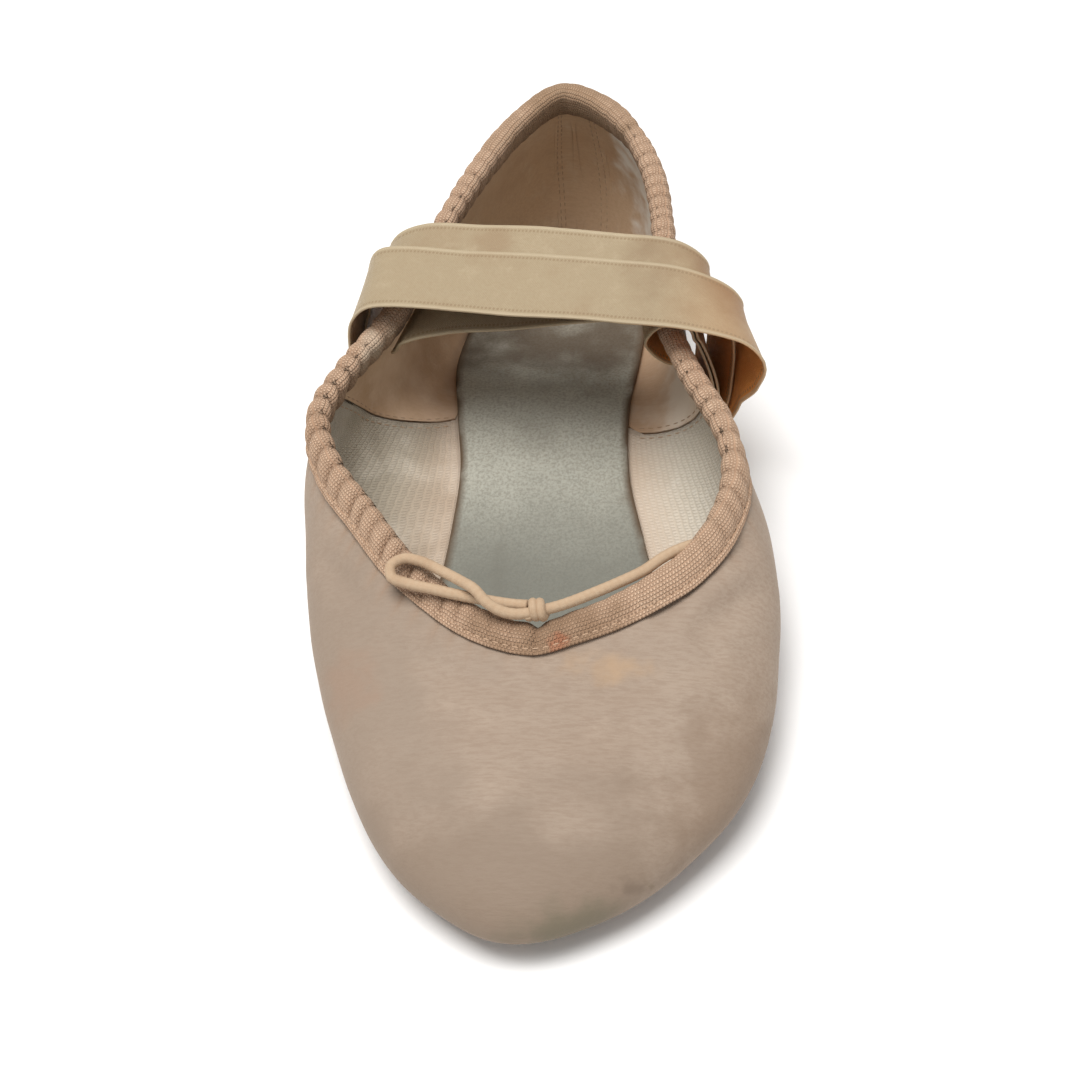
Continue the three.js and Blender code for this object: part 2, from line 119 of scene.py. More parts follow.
def open_spline(points: Route, per: int) -> np.ndarray:
    """Reads an open centripetal Catmull-Rom curve.

    Args:
        points: the curve's own points.
        per: readings from one point to the next.

    Returns:
        The readings, the last point included.
    """
    own = np.asarray(points, float)
    ends = np.vstack([2 * own[0] - own[1], own, 2 * own[-1] - own[-2]])
    w = np.linspace(0, 1, per, endpoint=False)[:, None]
    shortest = 1e-4
    pieces = []
    for i in range(len(own) - 1):
        p0, p1, p2, p3 = ends[i : i + 4]
        d0, d1, d2 = (math.sqrt(np.linalg.norm(b - a)) for a, b in ((p0, p1), (p1, p2), (p2, p3)))
        d1 = d1 if d1 > shortest else 1.0
        d0 = d0 if d0 > shortest else d1
        d2 = d2 if d2 > shortest else d1
        m1 = ((p1 - p0) / d0 - (p2 - p0) / (d0 + d1) + (p2 - p1) / d1) * d1
        m2 = ((p2 - p1) / d1 - (p3 - p1) / (d1 + d2) + (p3 - p2) / d2) * d1
        pieces.append(hermite(p1, p2, m1, m2, w))
    return np.vstack(pieces + [own[-1:]])


def joined(*stretches: tuple[float, float, int]) -> np.ndarray:
    """Numbers over stretches that meet end to end.

    Args:
        stretches: each one's start, its end and its count of numbers.

    Returns:
        The numbers, each shared end once.
    """
    parts = [np.linspace(*stretch)[:-1] for stretch in stretches]
    return np.append(np.concatenate(parts), stretches[-1][1])


def lengths_along(points: np.ndarray) -> np.ndarray:
    """The distance along a line of points, from its first point to each."""
    return np.concatenate([[0.0], np.cumsum(np.linalg.norm(np.diff(points, axis=0), axis=1))])


def resampled(points: np.ndarray, step: float, *others: np.ndarray) -> list[np.ndarray]:
    """Points at even distances along a line.

    Args:
        points: the line.
        step: the distance wanted between points.
        others: values given at the same places as the points.

    Returns:
        The even points, and the other values there.
    """
    along = lengths_along(points)
    even = np.linspace(0, along[-1], max(2, round(along[-1] / step) + 1))
    columns = [values.T for values in (points, *others)]
    return [np.stack([np.interp(even, along, column) for column in rows], axis=1) for rows in columns]


def unit(vectors: np.ndarray) -> np.ndarray:
    """Vectors scaled to length 1."""
    return vectors / np.maximum(np.linalg.norm(vectors, axis=-1, keepdims=True), 1e-12)


def bump(distance: np.ndarray, width: float) -> np.ndarray:
    """A soft bump: 1 where the distance is 0, and near 0 past twice the width."""
    return np.exp(-((distance / width) ** 2))


def smooth(value: np.ndarray, low: float, high: float) -> np.ndarray:
    """A soft step from 0 at low to 1 at high."""
    t = np.clip((np.asarray(value, float) - low) / (high - low), 0, 1)
    return t * t * (3 - 2 * t)


def placed(points: np.ndarray) -> np.ndarray:
    """Points of the slipper's own frame, in metres in the row's frame."""
    return (np.asarray(points, float) + SHIFT) * MM


@dataclass
class Ripple:
    """A smooth, seeded unevenness made of plane waves.

    Attributes:
        wavelength: the shortest wave, in mm. The longest is twice that.
        seed: what the waves' directions and phases are drawn from.
        waves: how many waves there are.
    """

    wavelength: float
    seed: int
    waves: int = 14

    def __call__(self, points: np.ndarray) -> np.ndarray:
        """The unevenness at each point, mostly within -1 to 1."""
        draw = np.random.default_rng(self.seed)
        total = np.zeros(points.shape[:-1])
        for _ in range(self.waves):
            direction = unit(draw.normal(size=3))
            length = self.wavelength * (1 + draw.random())
            phase = draw.random() * math.tau
            total += np.sin(points @ direction * (math.tau / length) + phase)
        return total / math.sqrt(self.waves)


def linked(name: str, data: bpy.types.ID) -> bpy.types.Object:
    """A new object of the scene, with its data."""
    made = bpy.data.objects.new(name, data)
    bpy.context.scene.collection.objects.link(made)
    return made


def tube_mesh(
    name: str,
    rings: np.ndarray,
    looped: bool,
    along: Optional[np.ndarray] = None,
    around: Optional[np.ndarray] = None,
    values: Optional[dict[str, np.ndarray]] = None,
) -> bpy.types.Object:
    """Makes a closed body through rings of points.

    Args:
        name: the object's name.
        rings: the points, as rings by points by 3.
        looped: whether the last ring joins the first. If not, both ends are capped.
        along: a UV value for each ring, and one more when looped.
        around: a UV value for each point of a ring and one more, for the seam.
        values: float attributes, each as rings by points.

    Returns:
        The new object, in metres in the row's frame.
    """
    count, size = rings.shape[:2]
    points = placed(rings.reshape(-1, 3))
    last = count if looped else count - 1
    i, j = np.meshgrid(np.arange(last), np.arange(size), indexing="ij")
    k = (j + 1) % size
    here = i * size
    ahead = ((i + 1) % count) * size
    quads = np.stack([here + j, here + k, ahead + k, ahead + j], axis=-1).reshape(-1, 4)
    uv_i = np.stack([i, i, i + 1, i + 1], axis=-1).reshape(-1, 4)
    uv_j = np.stack([j, j + 1, j + 1, j], axis=-1).reshape(-1, 4)
    a, b, c, d = (points[quads[:, n]] for n in range(4))
    volume = np.einsum("ij,ij->i", a, np.cross(b, c)).sum() + np.einsum("ij,ij->i", a, np.cross(c, d)).sum()
    flip = volume < 0
    if flip:
        quads, uv_i, uv_j = quads[:, ::-1], uv_i[:, ::-1], uv_j[:, ::-1]
    faces = quads.tolist()
    if not looped:
        first_cap = list(range(size))
        last_cap = list(range((count - 1) * size, count * size))
        faces += [first_cap, last_cap[::-1]] if flip else [first_cap[::-1], last_cap]
    mesh = bpy.data.meshes.new(name)
    mesh.from_pydata(points.tolist(), [], faces)
    if along is not None and around is not None:
        layer = mesh.uv_layers.new(name="cloth")
        uv = np.zeros((len(mesh.loops), 2), np.float32)
        flat = len(quads) * 4
        uv[:flat, 0] = np.asarray(along)[uv_i.ravel()]
        uv[:flat, 1] = np.asarray(around)[uv_j.ravel()]
        if not looped:
            uv[flat : flat + size] = [along[0], around[0]]
            uv[flat + size :] = [along[count - 1], around[0]]
        layer.data.foreach_set("uv", uv.ravel())
    for label, grid in (values or {}).items():
        attribute = mesh.attributes.new(label, "FLOAT", "POINT")
        attribute.data.foreach_set("value", np.asarray(grid, np.float32).ravel())
    mesh.validate()
    mesh.polygons.foreach_set("use_smooth", np.ones(len(mesh.polygons), bool))
    return linked(name, mesh)


def finished(piece: bpy.types.Object, material: bpy.types.Material, slot: Slot, *nodes: str) -> None:
    """Gives a piece its material and body, and hides the CAD nodes that it stands for.

    Args:
        piece: the piece.
        material: its material.
        slot: the record's slot; not used.
        nodes: the CAD nodes that it stands for.
    """
    piece.data.materials.clear()
    piece.data.materials.append(material)
    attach(piece, "root")
    if nodes:
        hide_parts(*nodes)
    log.info("%s: %d faces", piece.name, len(piece.data.polygons))


# The last: the form that the slipper is sewn on

COLUMNS = ("width", "sole_x", "sole_y", "side_x", "side_y", "side_z")
COLUMNS += ("rim_x", "rim_y", "rim_z", "steep", "belly")
BALL = 105.0
WAIST = 80.0
HEEL = 62.0
SECTIONS = (
    (BALL, 0.019, 0.055, 0.02, 0, 0.305, 0.03, 0, 0, 14, 0.2),
    (BALL, 0.114, 0.059, 0.181, 0.025, 0.307, 0.095, 0.015, 0.021, 15, 0.2),
    (BALL, 0.21, 0.087, 0.319, 0.074, 0.323, 0.171, 0.035, 0.062, 18, 0.21),
    (BALL, 0.267, 0.146, 0.433, 0.14, 0.369, 0.248, 0.064, 0.125, 24, 0.23),
    (BALL, 0.286, 0.222, 0.486, 0.222, 0.412, 0.314, 0.097, 0.188, 32, 0.26),
    (BALL, 0.276, 0.307, 0.5, 0.309, 0.472, 0.376, 0.155, 0.271, 45, 0.3),
    (BALL, 0.252, 0.391, 0.481, 0.395, 0.519, 0.41, 0.23, 0.375, 60, 0.34),
    (BALL, 0.214, 0.467, 0.429, 0.471, 0.537, 0.386, 0.309, 0.479, 66, 0.36),
    (WAIST, 0.231, 0.543, 0.487, 0.548, 0.535, 0.412, 0.406, 0.562, 66, 0.38),
    (WAIST, 0.219, 0.628, 0.406, 0.632, 0.511, 0.335, 0.521, 0.646, 66, 0.38),
    (HEEL, 0.306, 0.729, 0.465, 0.738, 0.458, 0.419, 0.673, 0.771, 72, 0.38),
    (HEEL, 0.306, 0.835, 0.419, 0.844, 0.392, 0.355, 0.818, 0.896, 74, 0.38),
    (HEEL, 0.21, 0.932, 0.266, 0.945, 0.349, 0.202, 0.939, 0.979, 76, 0.38),
    (HEEL, -0.073, 0.983, -0.065, 1, 0.336, -0.032, 1, 1, 78, 0.38),
    (HEEL, -0.3, 0.937, -0.33, 0.945, 0.352, -0.21, 0.93, 0.958, 76, 0.38),
    (HEEL, -0.43, 0.835, -0.49, 0.844, 0.4, -0.355, 0.818, 0.854, 74, 0.38),
    (HEEL, -0.468, 0.729, -0.575, 0.738, 0.463, -0.476, 0.679, 0.75, 72, 0.38),
    (WAIST, -0.325, 0.628, -0.506, 0.641, 0.517, -0.456, 0.53, 0.625, 68, 0.38),
    (WAIST, -0.294, 0.552, -0.594, 0.56, 0.537, -0.575, 0.433, 0.479, 66, 0.38),
    (BALL, -0.229, 0.484, -0.514, 0.48, 0.545, -0.486, 0.348, 0.375, 62, 0.36),
    (BALL, -0.243, 0.408, -0.5, 0.4, 0.521, -0.438, 0.264, 0.292, 54, 0.33),
    (BALL, -0.267, 0.323, -0.462, 0.311, 0.464, -0.352, 0.191, 0.208, 42, 0.29),
    (BALL, -0.267, 0.239, -0.405, 0.226, 0.424, -0.267, 0.118, 0.146, 32, 0.26),
    (BALL, -0.233, 0.159, -0.333, 0.146, 0.381, -0.19, 0.07, 0.083, 24, 0.23),
    (BALL, -0.167, 0.095, -0.233, 0.07, 0.328, -0.114, 0.03, 0.042, 18, 0.21),
    (BALL, -0.076, 0.061, -0.11, 0.021, 0.307, -0.038, 0.006, 0.021, 15, 0.2),
)


@dataclass
class Last:
    """The slipper's form: its sole line, its wall and its rim, from one table of sections.

    Attributes:
        foot_length: the length of the sole and the upper.
        heel_height: the rim's height at the heel.
        throat_height: the rim's height at the throat.
        vamp_length: from the toe tip to the throat.
        heel_lean: how far the heel's rim lies in from the back of the heel.
        wall: the upper's thickness.
        clearance: the gap between two pieces that meet.
        outsole: the outsole's thickness.
        insole: the insole's thickness.
        flange: how far the upper turns in under the foot.
        arch_height: the sole's height above the floor at the arch.
        toe_spring: its height above the floor at the toe tip.
        lower_round: how far the wall runs level before it turns up, a share of its overhang.
        rim_shoulder: how long the slope at the rim holds, a share of the chord.
        casing_depth: how far down the wall the casing reaches.
        casing_hem: how far its row of stitches lies above its lower edge.
    """

    foot_length: float = 236.5
    heel_height: float = 53.5
    throat_height: float = 29.5
    vamp_length: float = 60.5
    heel_lean: float = 11.0
    wall: float = 1.4
    clearance: float = 0.3
    outsole: float = 1.8
    insole: float = 1.2
    flange: float = 5.0
    arch_height: float = 7.0
    toe_spring: float = 3.0
    lower_round: float = 0.55
    rim_shoulder: float = 0.36
    casing_depth: float = 5.6
    casing_hem: float = 1.35

    def __post_init__(self) -> None:
        """Reads the table into the guide curves' points."""
        self.arch_centre = 0.622 * self.foot_length
        self.arch_reach = 0.22 * self.foot_length
        self.toe_line = 0.144 * self.foot_length
        rows = {label: np.array([row[i] for row in SECTIONS], float) for i, label in enumerate(COLUMNS)}
        rim_length = self.foot_length - self.heel_lean - self.vamp_length
        rim_y = self.vamp_length + rows["rim_y"] * rim_length
        rim_z = self.throat_height + rows["rim_z"] * (self.heel_height - self.throat_height)
        sole_x, side_x, rim_x = (rows[label] * rows["width"] for label in ("sole_x", "side_x", "rim_x"))
        sole_y, side_y = (rows[label] * self.foot_length for label in ("sole_y", "side_y"))
        zero = np.zeros(len(SECTIONS))
        self.sole_points = np.stack([sole_x, sole_y, zero], 1)
        self.side_points = np.stack([side_x, side_y, rows["side_z"] * rim_z], 1)
        self.rim_points = np.stack([rim_x, rim_y, rim_z], 1)
        self.slope_points = np.stack([np.radians(rows["steep"]), rows["belly"], zero], 1)
        self.sole_line = closed_spline(self.sole_points, np.linspace(0, 1, 801))

    def lift(self, y: np.ndarray) -> np.ndarray:
        """The height of the sole's underside above the floor at y."""
        from_arch = np.minimum(1, np.abs(y - self.arch_centre) / self.arch_reach)
        from_toe = np.maximum(0, (self.toe_line - y) / self.toe_line)
        return self.arch_height * (1 + np.cos(np.pi * from_arch)) / 2 + self.toe_spring * from_toe**2

    def sole_edge(self, y: float, side: Side) -> float:
        """Finds the sole line's place across the shoe.

        Args:
            y: where along the shoe.
            side: the side of the foot.

        Returns:
            Its x.
        """
        a, b = self.sole_line[:-1], self.sole_line[1:]
        crosses = (a[:, 1] - y) * (b[:, 1] - y) <= 0
        a, b = a[crosses], b[crosses]
        least = 1e-9
        run = np.where(np.abs(b[:, 1] - a[:, 1]) < least, least, b[:, 1] - a[:, 1])
        x = a[:, 0] + (y - a[:, 1]) / run * (b[:, 0] - a[:, 0])
        return float(x.max() if side is Side.BIG_TOE else x.min())

    def wall_at(self, turn: np.ndarray, share: np.ndarray) -> np.ndarray:
        """Points on the wall's outer face.

        Args:
            turn: once round the shoe, 0 to 1.
            share: up the wall, from -1 at the flange's inner edge, 0 at the sole's edge and 1 at the widest
                point to 2 at the rim.

        Returns:
            The points, as turns by shares by 3.
        """
        turn = np.atleast_1d(np.asarray(turn, float))
        share = np.atleast_1d(np.asarray(share, float))
        guides = (self.sole_points, self.side_points, self.rim_points, self.slope_points)
        sole, side, rim, slope = (closed_spline(points, turn) for points in guides)
        sole[:, 2] = self.lift(sole[:, 1]) + self.outsole + self.clearance
        outward = side - sole
        outward[:, 2] = 0
        inward = rim - side
        inward[:, 2] = 0
        chord = np.linalg.norm(rim - side, axis=1)[:, None]
        up = np.array([0.0, 0.0, 1.0])
        rim_slope = unit(inward) * np.cos(slope[:, :1]) + up * np.sin(slope[:, :1])
        drop = self.lower_round * (sole[:, 2:] - side[:, 2:])
        lower = (sole, sole + outward * self.lower_round, side + up * drop, side)
        upper = (side, side + up * chord * slope[:, 1:2], rim - rim_slope * chord * self.rim_shoulder, rim)
        out = np.empty((len(turn), len(share), 3))
        for curve, low in ((lower, 0), (upper, 1)):
            t = np.clip(share - low, 0, 1)[None, :, None]
            weights = ((1 - t) ** 3, 3 * (1 - t) ** 2 * t, 3 * (1 - t) * t**2, t**3)
            value = sum(weight * points[:, None, :] for weight, points in zip(weights, curve))
            use = share >= 1 if low else (share >= 0) & (share < 1)
            out[:, use] = value[:, use]
        under = share < 0
        if under.any():
            reach = (share[under] * self.flange)[None, :, None]
            flange = sole[:, None, :] + unit(outward)[:, None, :] * reach
            flange[..., 2] = self.lift(flange[..., 1]) + self.outsole + self.clearance
            out[:, under] = flange
        return out

    def normals_at(self, turn: np.ndarray, share: np.ndarray) -> np.ndarray:
        """The outward normals of the wall's outer face. It takes and returns what wall_at does."""
        step = 2e-3
        across = self.wall_at(np.asarray(turn) + step, share) - self.wall_at(np.asarray(turn) - step, share)
        share = np.asarray(share, float)
        above = self.wall_at(turn, np.minimum(share + step, 2))
        below = self.wall_at(turn, np.maximum(share - step, -1))
        return unit(np.cross(across, above - below))

    def by_rim(self, turn: np.ndarray, down: np.ndarray, out: np.ndarray) -> np.ndarray:
        """Points by the rim.

        Args:
            turn: once round the shoe, 0 to 1.
            down: distances along the outer face from the rim, one a point. They are negative above the rim.
            out: distances out from that face, as turns by points.

        Returns:
            The points, as turns by points by 3.
        """
        turn = np.atleast_1d(np.asarray(turn, float))
        down = np.atleast_1d(np.asarray(down, float))
        step = 1e-3
        here, rise = self._down_from_rim(turn, down)
        across = self._down_from_rim(turn + step, down)[0] - self._down_from_rim(turn - step, down)[0]
        return here + unit(np.cross(across, rise)) * np.broadcast_to(out, here.shape[:2])[..., None]

    def _down_from_rim(self, turn: np.ndarray, down: np.ndarray) -> tuple[np.ndarray, np.ndarray]:
        """Points of the outer face under and above the rim.

        Args:
            turn: once round the shoe, 0 to 1.
            down: distances along the outer face from the rim.

        Returns:
            The points and the way up the wall at each, both as turns by distances by 3.
        """
        near = 0.4
        line = self.wall_at(turn, np.linspace(1, 2, 61))[:, ::-1]
        steps = np.linalg.norm(np.diff(line, axis=1), axis=2)
        along = np.concatenate([np.zeros((len(turn), 1)), np.cumsum(steps, axis=1)], axis=1)
        slope = unit(line[:, 0] - line[:, 1])
        reach = np.clip(down, 0, None)
        points = np.empty((len(turn), len(down), 3))
        rise = np.empty_like(points)
        for n in range(len(turn)):
            for c in range(3):
                points[n, :, c], above, below = (
                    np.interp(place, along[n], line[n, :, c]) for place in (reach, reach - near, reach + near)
                )
                rise[n, :, c] = above - below
        points += slope[:, None, :] * np.clip(-down, 0, None)[None, :, None]
        return points, rise

    def rim_turn(self, y: float, side: Side) -> float:
        """Finds where the rim passes a place along the shoe.

        Args:
            y: the place.
            side: the side of the foot.

        Returns:
            The turn there.
        """
        low, high = 0.0, 0.5
        for _ in range(40):
            middle = (low + high) / 2
            at = middle if side is Side.BIG_TOE else 1 - middle
            if closed_spline(self.rim_points, np.array([at]))[0, 1] < y:
                low = middle
            else:
                high = middle
        return low if side is Side.BIG_TOE else 1 - low

    def rim_distance(self, turns: np.ndarray) -> np.ndarray:
        """The distance along the rim from the throat to each turn."""
        fine = np.linspace(0, 1, 2001)
        return np.interp(turns, fine, lengths_along(closed_spline(self.rim_points, fine)))


# Materials

Socket = bpy.types.NodeSocket
Value = Socket | float | Sequence[float]


class Tree:
    """A thin builder for a node tree."""

    def __init__(self, tree: bpy.types.NodeTree) -> None:
        """Takes the tree to build in."""
        self.tree = tree

    def add(self, kind: str, inputs: Optional[dict] = None, **settings: object) -> bpy.types.Node:
        """Adds a node.

        Args:
            kind: the node's type name.
            inputs: values or sockets for its inputs, by name or number.
            settings: its own settings.

        Returns:
            The node.
        """
        node = self.tree.nodes.new(kind)
        for key, value in settings.items():
            setattr(node, key, value)
        for key, value in (inputs or {}).items():
            if isinstance(value, bpy.types.NodeSocket):
                self.tree.links.new(value, node.inputs[key])
            else:
                node.inputs[key].default_value = value
        return node

    def link(self, value: Socket, socket: Socket) -> None:
        """Joins two sockets."""
        self.tree.links.new(value, socket)

    def math(self, operation: str, a: Value, b: Value = 0.0, clamp: bool = False) -> Socket:
        """Adds a Math node and returns its value."""
        return self.add("ShaderNodeMath", {0: a, 1: b}, operation=operation, use_clamp=clamp).outputs[0]

    def step(self, value: Value, low: float, high: float, to_high: float = 1.0) -> Socket:
        """Maps a value smoothly from a range to 0 at its low end and to_high at its high end."""
        inputs = {"Value": value, "From Min": low, "From Max": high, "To Min": 0.0, "To Max": to_high}
        return self.add("ShaderNodeMapRange", inputs, interpolation_type="SMOOTHSTEP").outputs[0]

    def mix(self, factor: Value, a: Value, b: Value, blend: str = "MIX") -> Socket:
        """Mixes two colours."""
        inputs = {0: factor, 6: a, 7: b}
        return self.add("ShaderNodeMix", inputs, data_type="RGBA", blend_type=blend).outputs[2]

    def noise(self, vector: Value, scale: Value, detail: float = 3.0, roughness: float = 0.55) -> Socket:
        """Adds a Noise texture and returns its value."""
        inputs = {"Vector": vector, "Scale": scale, "Detail": detail, "Roughness": roughness}
        return self.add("ShaderNodeTexNoise", inputs).outputs[0]

    def scaled(self, vector: Value, scale: Point, location: Point = (0, 0, 0)) -> Socket:
        """Scales and shifts a vector."""
        inputs = {"Vector": vector, "Scale": scale, "Location": location}
        return self.add("ShaderNodeMapping", inputs).outputs[0]

    def vector(self, operation: str, a: Value, b: Value = (0, 0, 0)) -> bpy.types.Node:
        """Adds a Vector Math node."""
        return self.add("ShaderNodeVectorMath", {0: a, 1: b}, operation=operation)

    def group(self, tree: bpy.types.NodeTree, inputs: dict[str, Value]) -> bpy.types.NodeOutputs:
        """Adds a copy of a group and returns its outputs."""
        return self.add("ShaderNodeGroup", inputs, node_tree=tree).outputs


def colour(*values: float) -> Colour:
    """A colour for a socket from sRGB values of 0 to 255."""
    linear = [((v / 255 + 0.055) / 1.055) ** 2.4 if v > 10.3 else v / 255 / 12.92 for v in values]
    return (*linear, 1.0)


class Effects:
    """The node groups that several materials share. Each is built once."""

    @staticmethod
    def _group(
        name: str, ins: dict[str, float | Point | Colour], outs: dict[str, str]
    ) -> tuple[Tree, bpy.types.NodeOutputs, bpy.types.NodeInputs]:
        """Starts a group.

        Args:
            name: the group's name.
            ins: each input's default value, a number, a vector or a colour.
            outs: each output's socket type.

        Returns:
            The tree, what its inputs give inside it, and the sockets of its outputs.
        """
        kinds = {1: "NodeSocketFloat", 3: "NodeSocketVector", 4: "NodeSocketColor"}
        tree = bpy.data.node_groups.new(name, "ShaderNodeTree")
        for label, value in ins.items():
            socket = tree.interface.new_socket(
                name=label, in_out="INPUT", socket_type=kinds[np.size(value)]
            )
            socket.default_value = value
        for label, kind in outs.items():
            tree.interface.new_socket(name=label, in_out="OUTPUT", socket_type=kind)
        source, sink = tree.nodes.new("NodeGroupInput"), tree.nodes.new("NodeGroupOutput")
        return Tree(tree), source.outputs, sink.inputs

    @classmethod
    @cache
    def weave(cls) -> bpy.types.NodeTree:
        """Plain weave or knit rows: Height and Thread (0 in the gaps, 1 on the threads)."""
        ins = {"Vector": (0, 0, 0), "Along": 0.5, "Across": 0.5, "Uneven": 0.2}
        t, given, out = cls._group("weave", ins, {"Height": "NodeSocketFloat", "Thread": "NodeSocketFloat"})
        wobble = t.noise(given["Vector"], 0.35, 3.0)
        shift = t.math("MULTIPLY", t.math("SUBTRACT", wobble, 0.5), given["Uneven"])
        split = t.add("ShaderNodeSeparateXYZ", {0: given["Vector"]})
        u = t.math("ADD", t.math("DIVIDE", split.outputs[0], given["Along"]), t.math("MULTIPLY", shift, 5.0))
        v = t.math("ADD", t.math("DIVIDE", split.outputs[1], given["Across"]), t.math("MULTIPLY", shift, 4.0))
        half = t.math("MULTIPLY", t.math("FLOOR", v), 0.5)
        row = t.math("PINGPONG", t.math("ADD", u, half), 0.5)
        column = t.math("PINGPONG", v, 0.5)
        thread = t.math("MULTIPLY", t.step(row, 0.02, 0.3), t.step(column, 0.02, 0.3))
        t.link(thread, out["Thread"])
        fuzz = t.noise(given["Vector"], 4.0, 2.0)
        t.link(t.math("ADD", thread, t.math("MULTIPLY", fuzz, 0.35)), out["Height"])
        return t.tree

    @classmethod
    @cache
    def mottle(cls) -> bpy.types.NodeTree:
        """Uneven colour: Colour and Value, from a vector in millimetres."""
        ins = {
            "Vector": (0, 0, 0),
            "Base": (0.8, 0.8, 0.8, 1),
            "Dark": (0.5, 0.5, 0.5, 1),
            "Light": (1, 1, 1, 1),
            "Size": 20.0,
            "Amount": 0.5,
        }
        t, given, out = cls._group("mottle", ins, {"Colour": "NodeSocketColor", "Value": "NodeSocketFloat"})
        reach = t.math("DIVIDE", 1.0, given["Size"])
        near = t.noise(given["Vector"], reach, 4.0, 0.5)
        far = t.noise(given["Vector"], t.math("MULTIPLY", reach, 3.7), 5.0, 0.65)
        dark = t.math("MULTIPLY", t.step(near, 0.48, 0.72), given["Amount"])
        light = t.math("MULTIPLY", t.step(far, 0.5, 0.75), given["Amount"])
        t.link(t.mix(light, t.mix(dark, given["Base"], given["Dark"]), given["Light"]), out["Colour"])
        t.link(t.math("SUBTRACT", light, dark), out["Value"])
        return t.tree

    @classmethod
    @cache
    def spot(cls) -> bpy.types.NodeTree:
        """A soft-edged patch round a point, for dirt, wear, painted shade and painted light: Mask."""
        ins = {"Vector": (0, 0, 0), "Centre": (0, 0, 0), "Reach": (10, 10, 10), "Grain": 6.0, "Ragged": 0.7}
        t, given, out = cls._group("spot", ins, {"Mask": "NodeSocketFloat"})
        away = t.vector("SUBTRACT", given["Vector"], given["Centre"]).outputs[0]
        shares = t.vector("DIVIDE", away, given["Reach"]).outputs[0]
        length = t.vector("LENGTH", shares).outputs["Value"]
        grain = t.noise(given["Vector"], t.math("DIVIDE", 1.0, given["Grain"]), 4.0, 0.5)
        ragged = t.math("MULTIPLY", t.math("SUBTRACT", grain, 0.5), given["Ragged"])
        edge = t.math("ADD", length, t.math("MULTIPLY", ragged, 2.0))
        t.link(t.step(edge, 1.0, 0.25), out["Mask"])
        return t.tree


@dataclass(frozen=True)
class Patch:
    """A patch of other colour on a finish: some are dirt and wear, others painted shade and painted light.

    Attributes:
        centre: where it is, in the slipper's own millimetres.
        reach: how far it goes along each axis.
        tint: its colour.
        strength: how much of the colour shows.
        grain: the size of its ragged edge.
    """

    centre: Point
    reach: Point
    tint: Colour
    strength: float
    grain: float = 6.0


@dataclass(frozen=True)
class Finish:
    """A cloth, leather or cord finish.

    Attributes:
        name: the material's name.
        base: its colour.
        dark: the colour of its darker mottling.
        light: the colour of its lighter mottling.
        roughness: how matte it is.
        sheen: how much light its fibres catch at a glancing angle.
        mottle_size: the size of the mottling in millimetres.
        mottle_amount: how much of it shows.
        thread: the spacing of its threads along and across, in millimetres. None for suede.
        relief: the depth of its weave or grain in millimetres.
        from_uv: whether the weave follows the piece's own UV map.
        stretch: how much longer the fibres are than wide, along X.
        patches: its patches of dirt and wear, and of painted shade and painted light.
        painted_shade_tint: the painted shade that the piece takes where its "shade" attribute is 1; on the
            ribbon, a painted orange glow.
        specular: the strength of its highlights.
        gap: how dark the gaps between its threads are.
        grain: how much its fine fibres darken it.
    """

    name: str
    base: Colour
    dark: Colour
    light: Colour
    roughness: float = 0.8
    sheen: float = 0.2
    mottle_size: float = 30.0
    mottle_amount: float = 0.4
    thread: Optional[tuple[float, float]] = None
    relief: float = 0.06
    from_uv: bool = False
    stretch: float = 1.0
    patches: tuple[Patch, ...] = ()
    painted_shade_tint: Optional[Colour] = None
    specular: float = 0.3
    gap: float = 0.2
    grain: float = 0.22

    def build(self) -> bpy.types.Material:
        """Builds the material."""
        material = bpy.data.materials.new(self.name)
        material.use_nodes = True
        t = Tree(material.node_tree)
        shader = t.tree.nodes["Principled BSDF"]
        for label, value in (
            ("Specular IOR Level", self.specular),
            ("Sheen Weight", self.sheen),
            ("Sheen Roughness", 0.45),
            ("Sheen Tint", self.light),
        ):
            shader.inputs[label].default_value = value
        position = t.add("ShaderNodeTexCoord").outputs["Object"]
        own = t.scaled(position, (1 / MM, 1 / MM, 1 / MM), tuple(-SHIFT))
        looks = {
            "Base": self.base,
            "Dark": self.dark,
            "Light": self.light,
            "Size": self.mottle_size,
            "Amount": self.mottle_amount,
            "Vector": own,
        }
        mottle = t.group(Effects.mottle(), looks)
        fibre = t.noise(t.scaled(own, (1 / self.stretch, 1, 1)), 1.5, 4.0, 0.7)
        tone = t.mix(t.step(fibre, 0.38, 0.66, self.grain), mottle["Colour"], self.dark)
        height = t.math("MULTIPLY", fibre, 0.8)
        if self.thread:
            cloth = t.add("ShaderNodeUVMap", uv_map="cloth").outputs[0] if self.from_uv else own
            along, across = self.thread
            weave = t.group(Effects.weave(), {"Vector": cloth, "Along": along, "Across": across})
            gaps = t.math("SUBTRACT", 1.0, weave["Thread"])
            tone = t.mix(t.math("MULTIPLY", gaps, self.gap), tone, self.dark, "MULTIPLY")
            height = t.math("ADD", weave["Height"], t.math("MULTIPLY", height, 0.5))
        for patch in self.patches:
            place = {"Vector": own, "Centre": patch.centre, "Reach": patch.reach, "Grain": patch.grain}
            mask = t.group(Effects.spot(), place)["Mask"]
            tone = t.mix(t.math("MULTIPLY", mask, patch.strength), tone, patch.tint)
        # Painted shade: the "shade" attribute mixes in the painted shade tint, which is a painted glow on the
        # ribbon.
        if self.painted_shade_tint:
            shade = t.add("ShaderNodeAttribute", attribute_name="shade").outputs["Fac"]
            tone = t.mix(shade, tone, self.painted_shade_tint)
        rough = t.math("ADD", self.roughness, t.math("MULTIPLY", mottle["Value"], -0.08), clamp=True)
        relief = t.add("ShaderNodeBump", {"Height": height, "Distance": self.relief * MM, "Strength": 1.0})
        t.link(tone, shader.inputs["Base Color"])
        t.link(rough, shader.inputs["Roughness"])
        t.link(relief.outputs[0], shader.inputs["Normal"])
        return material


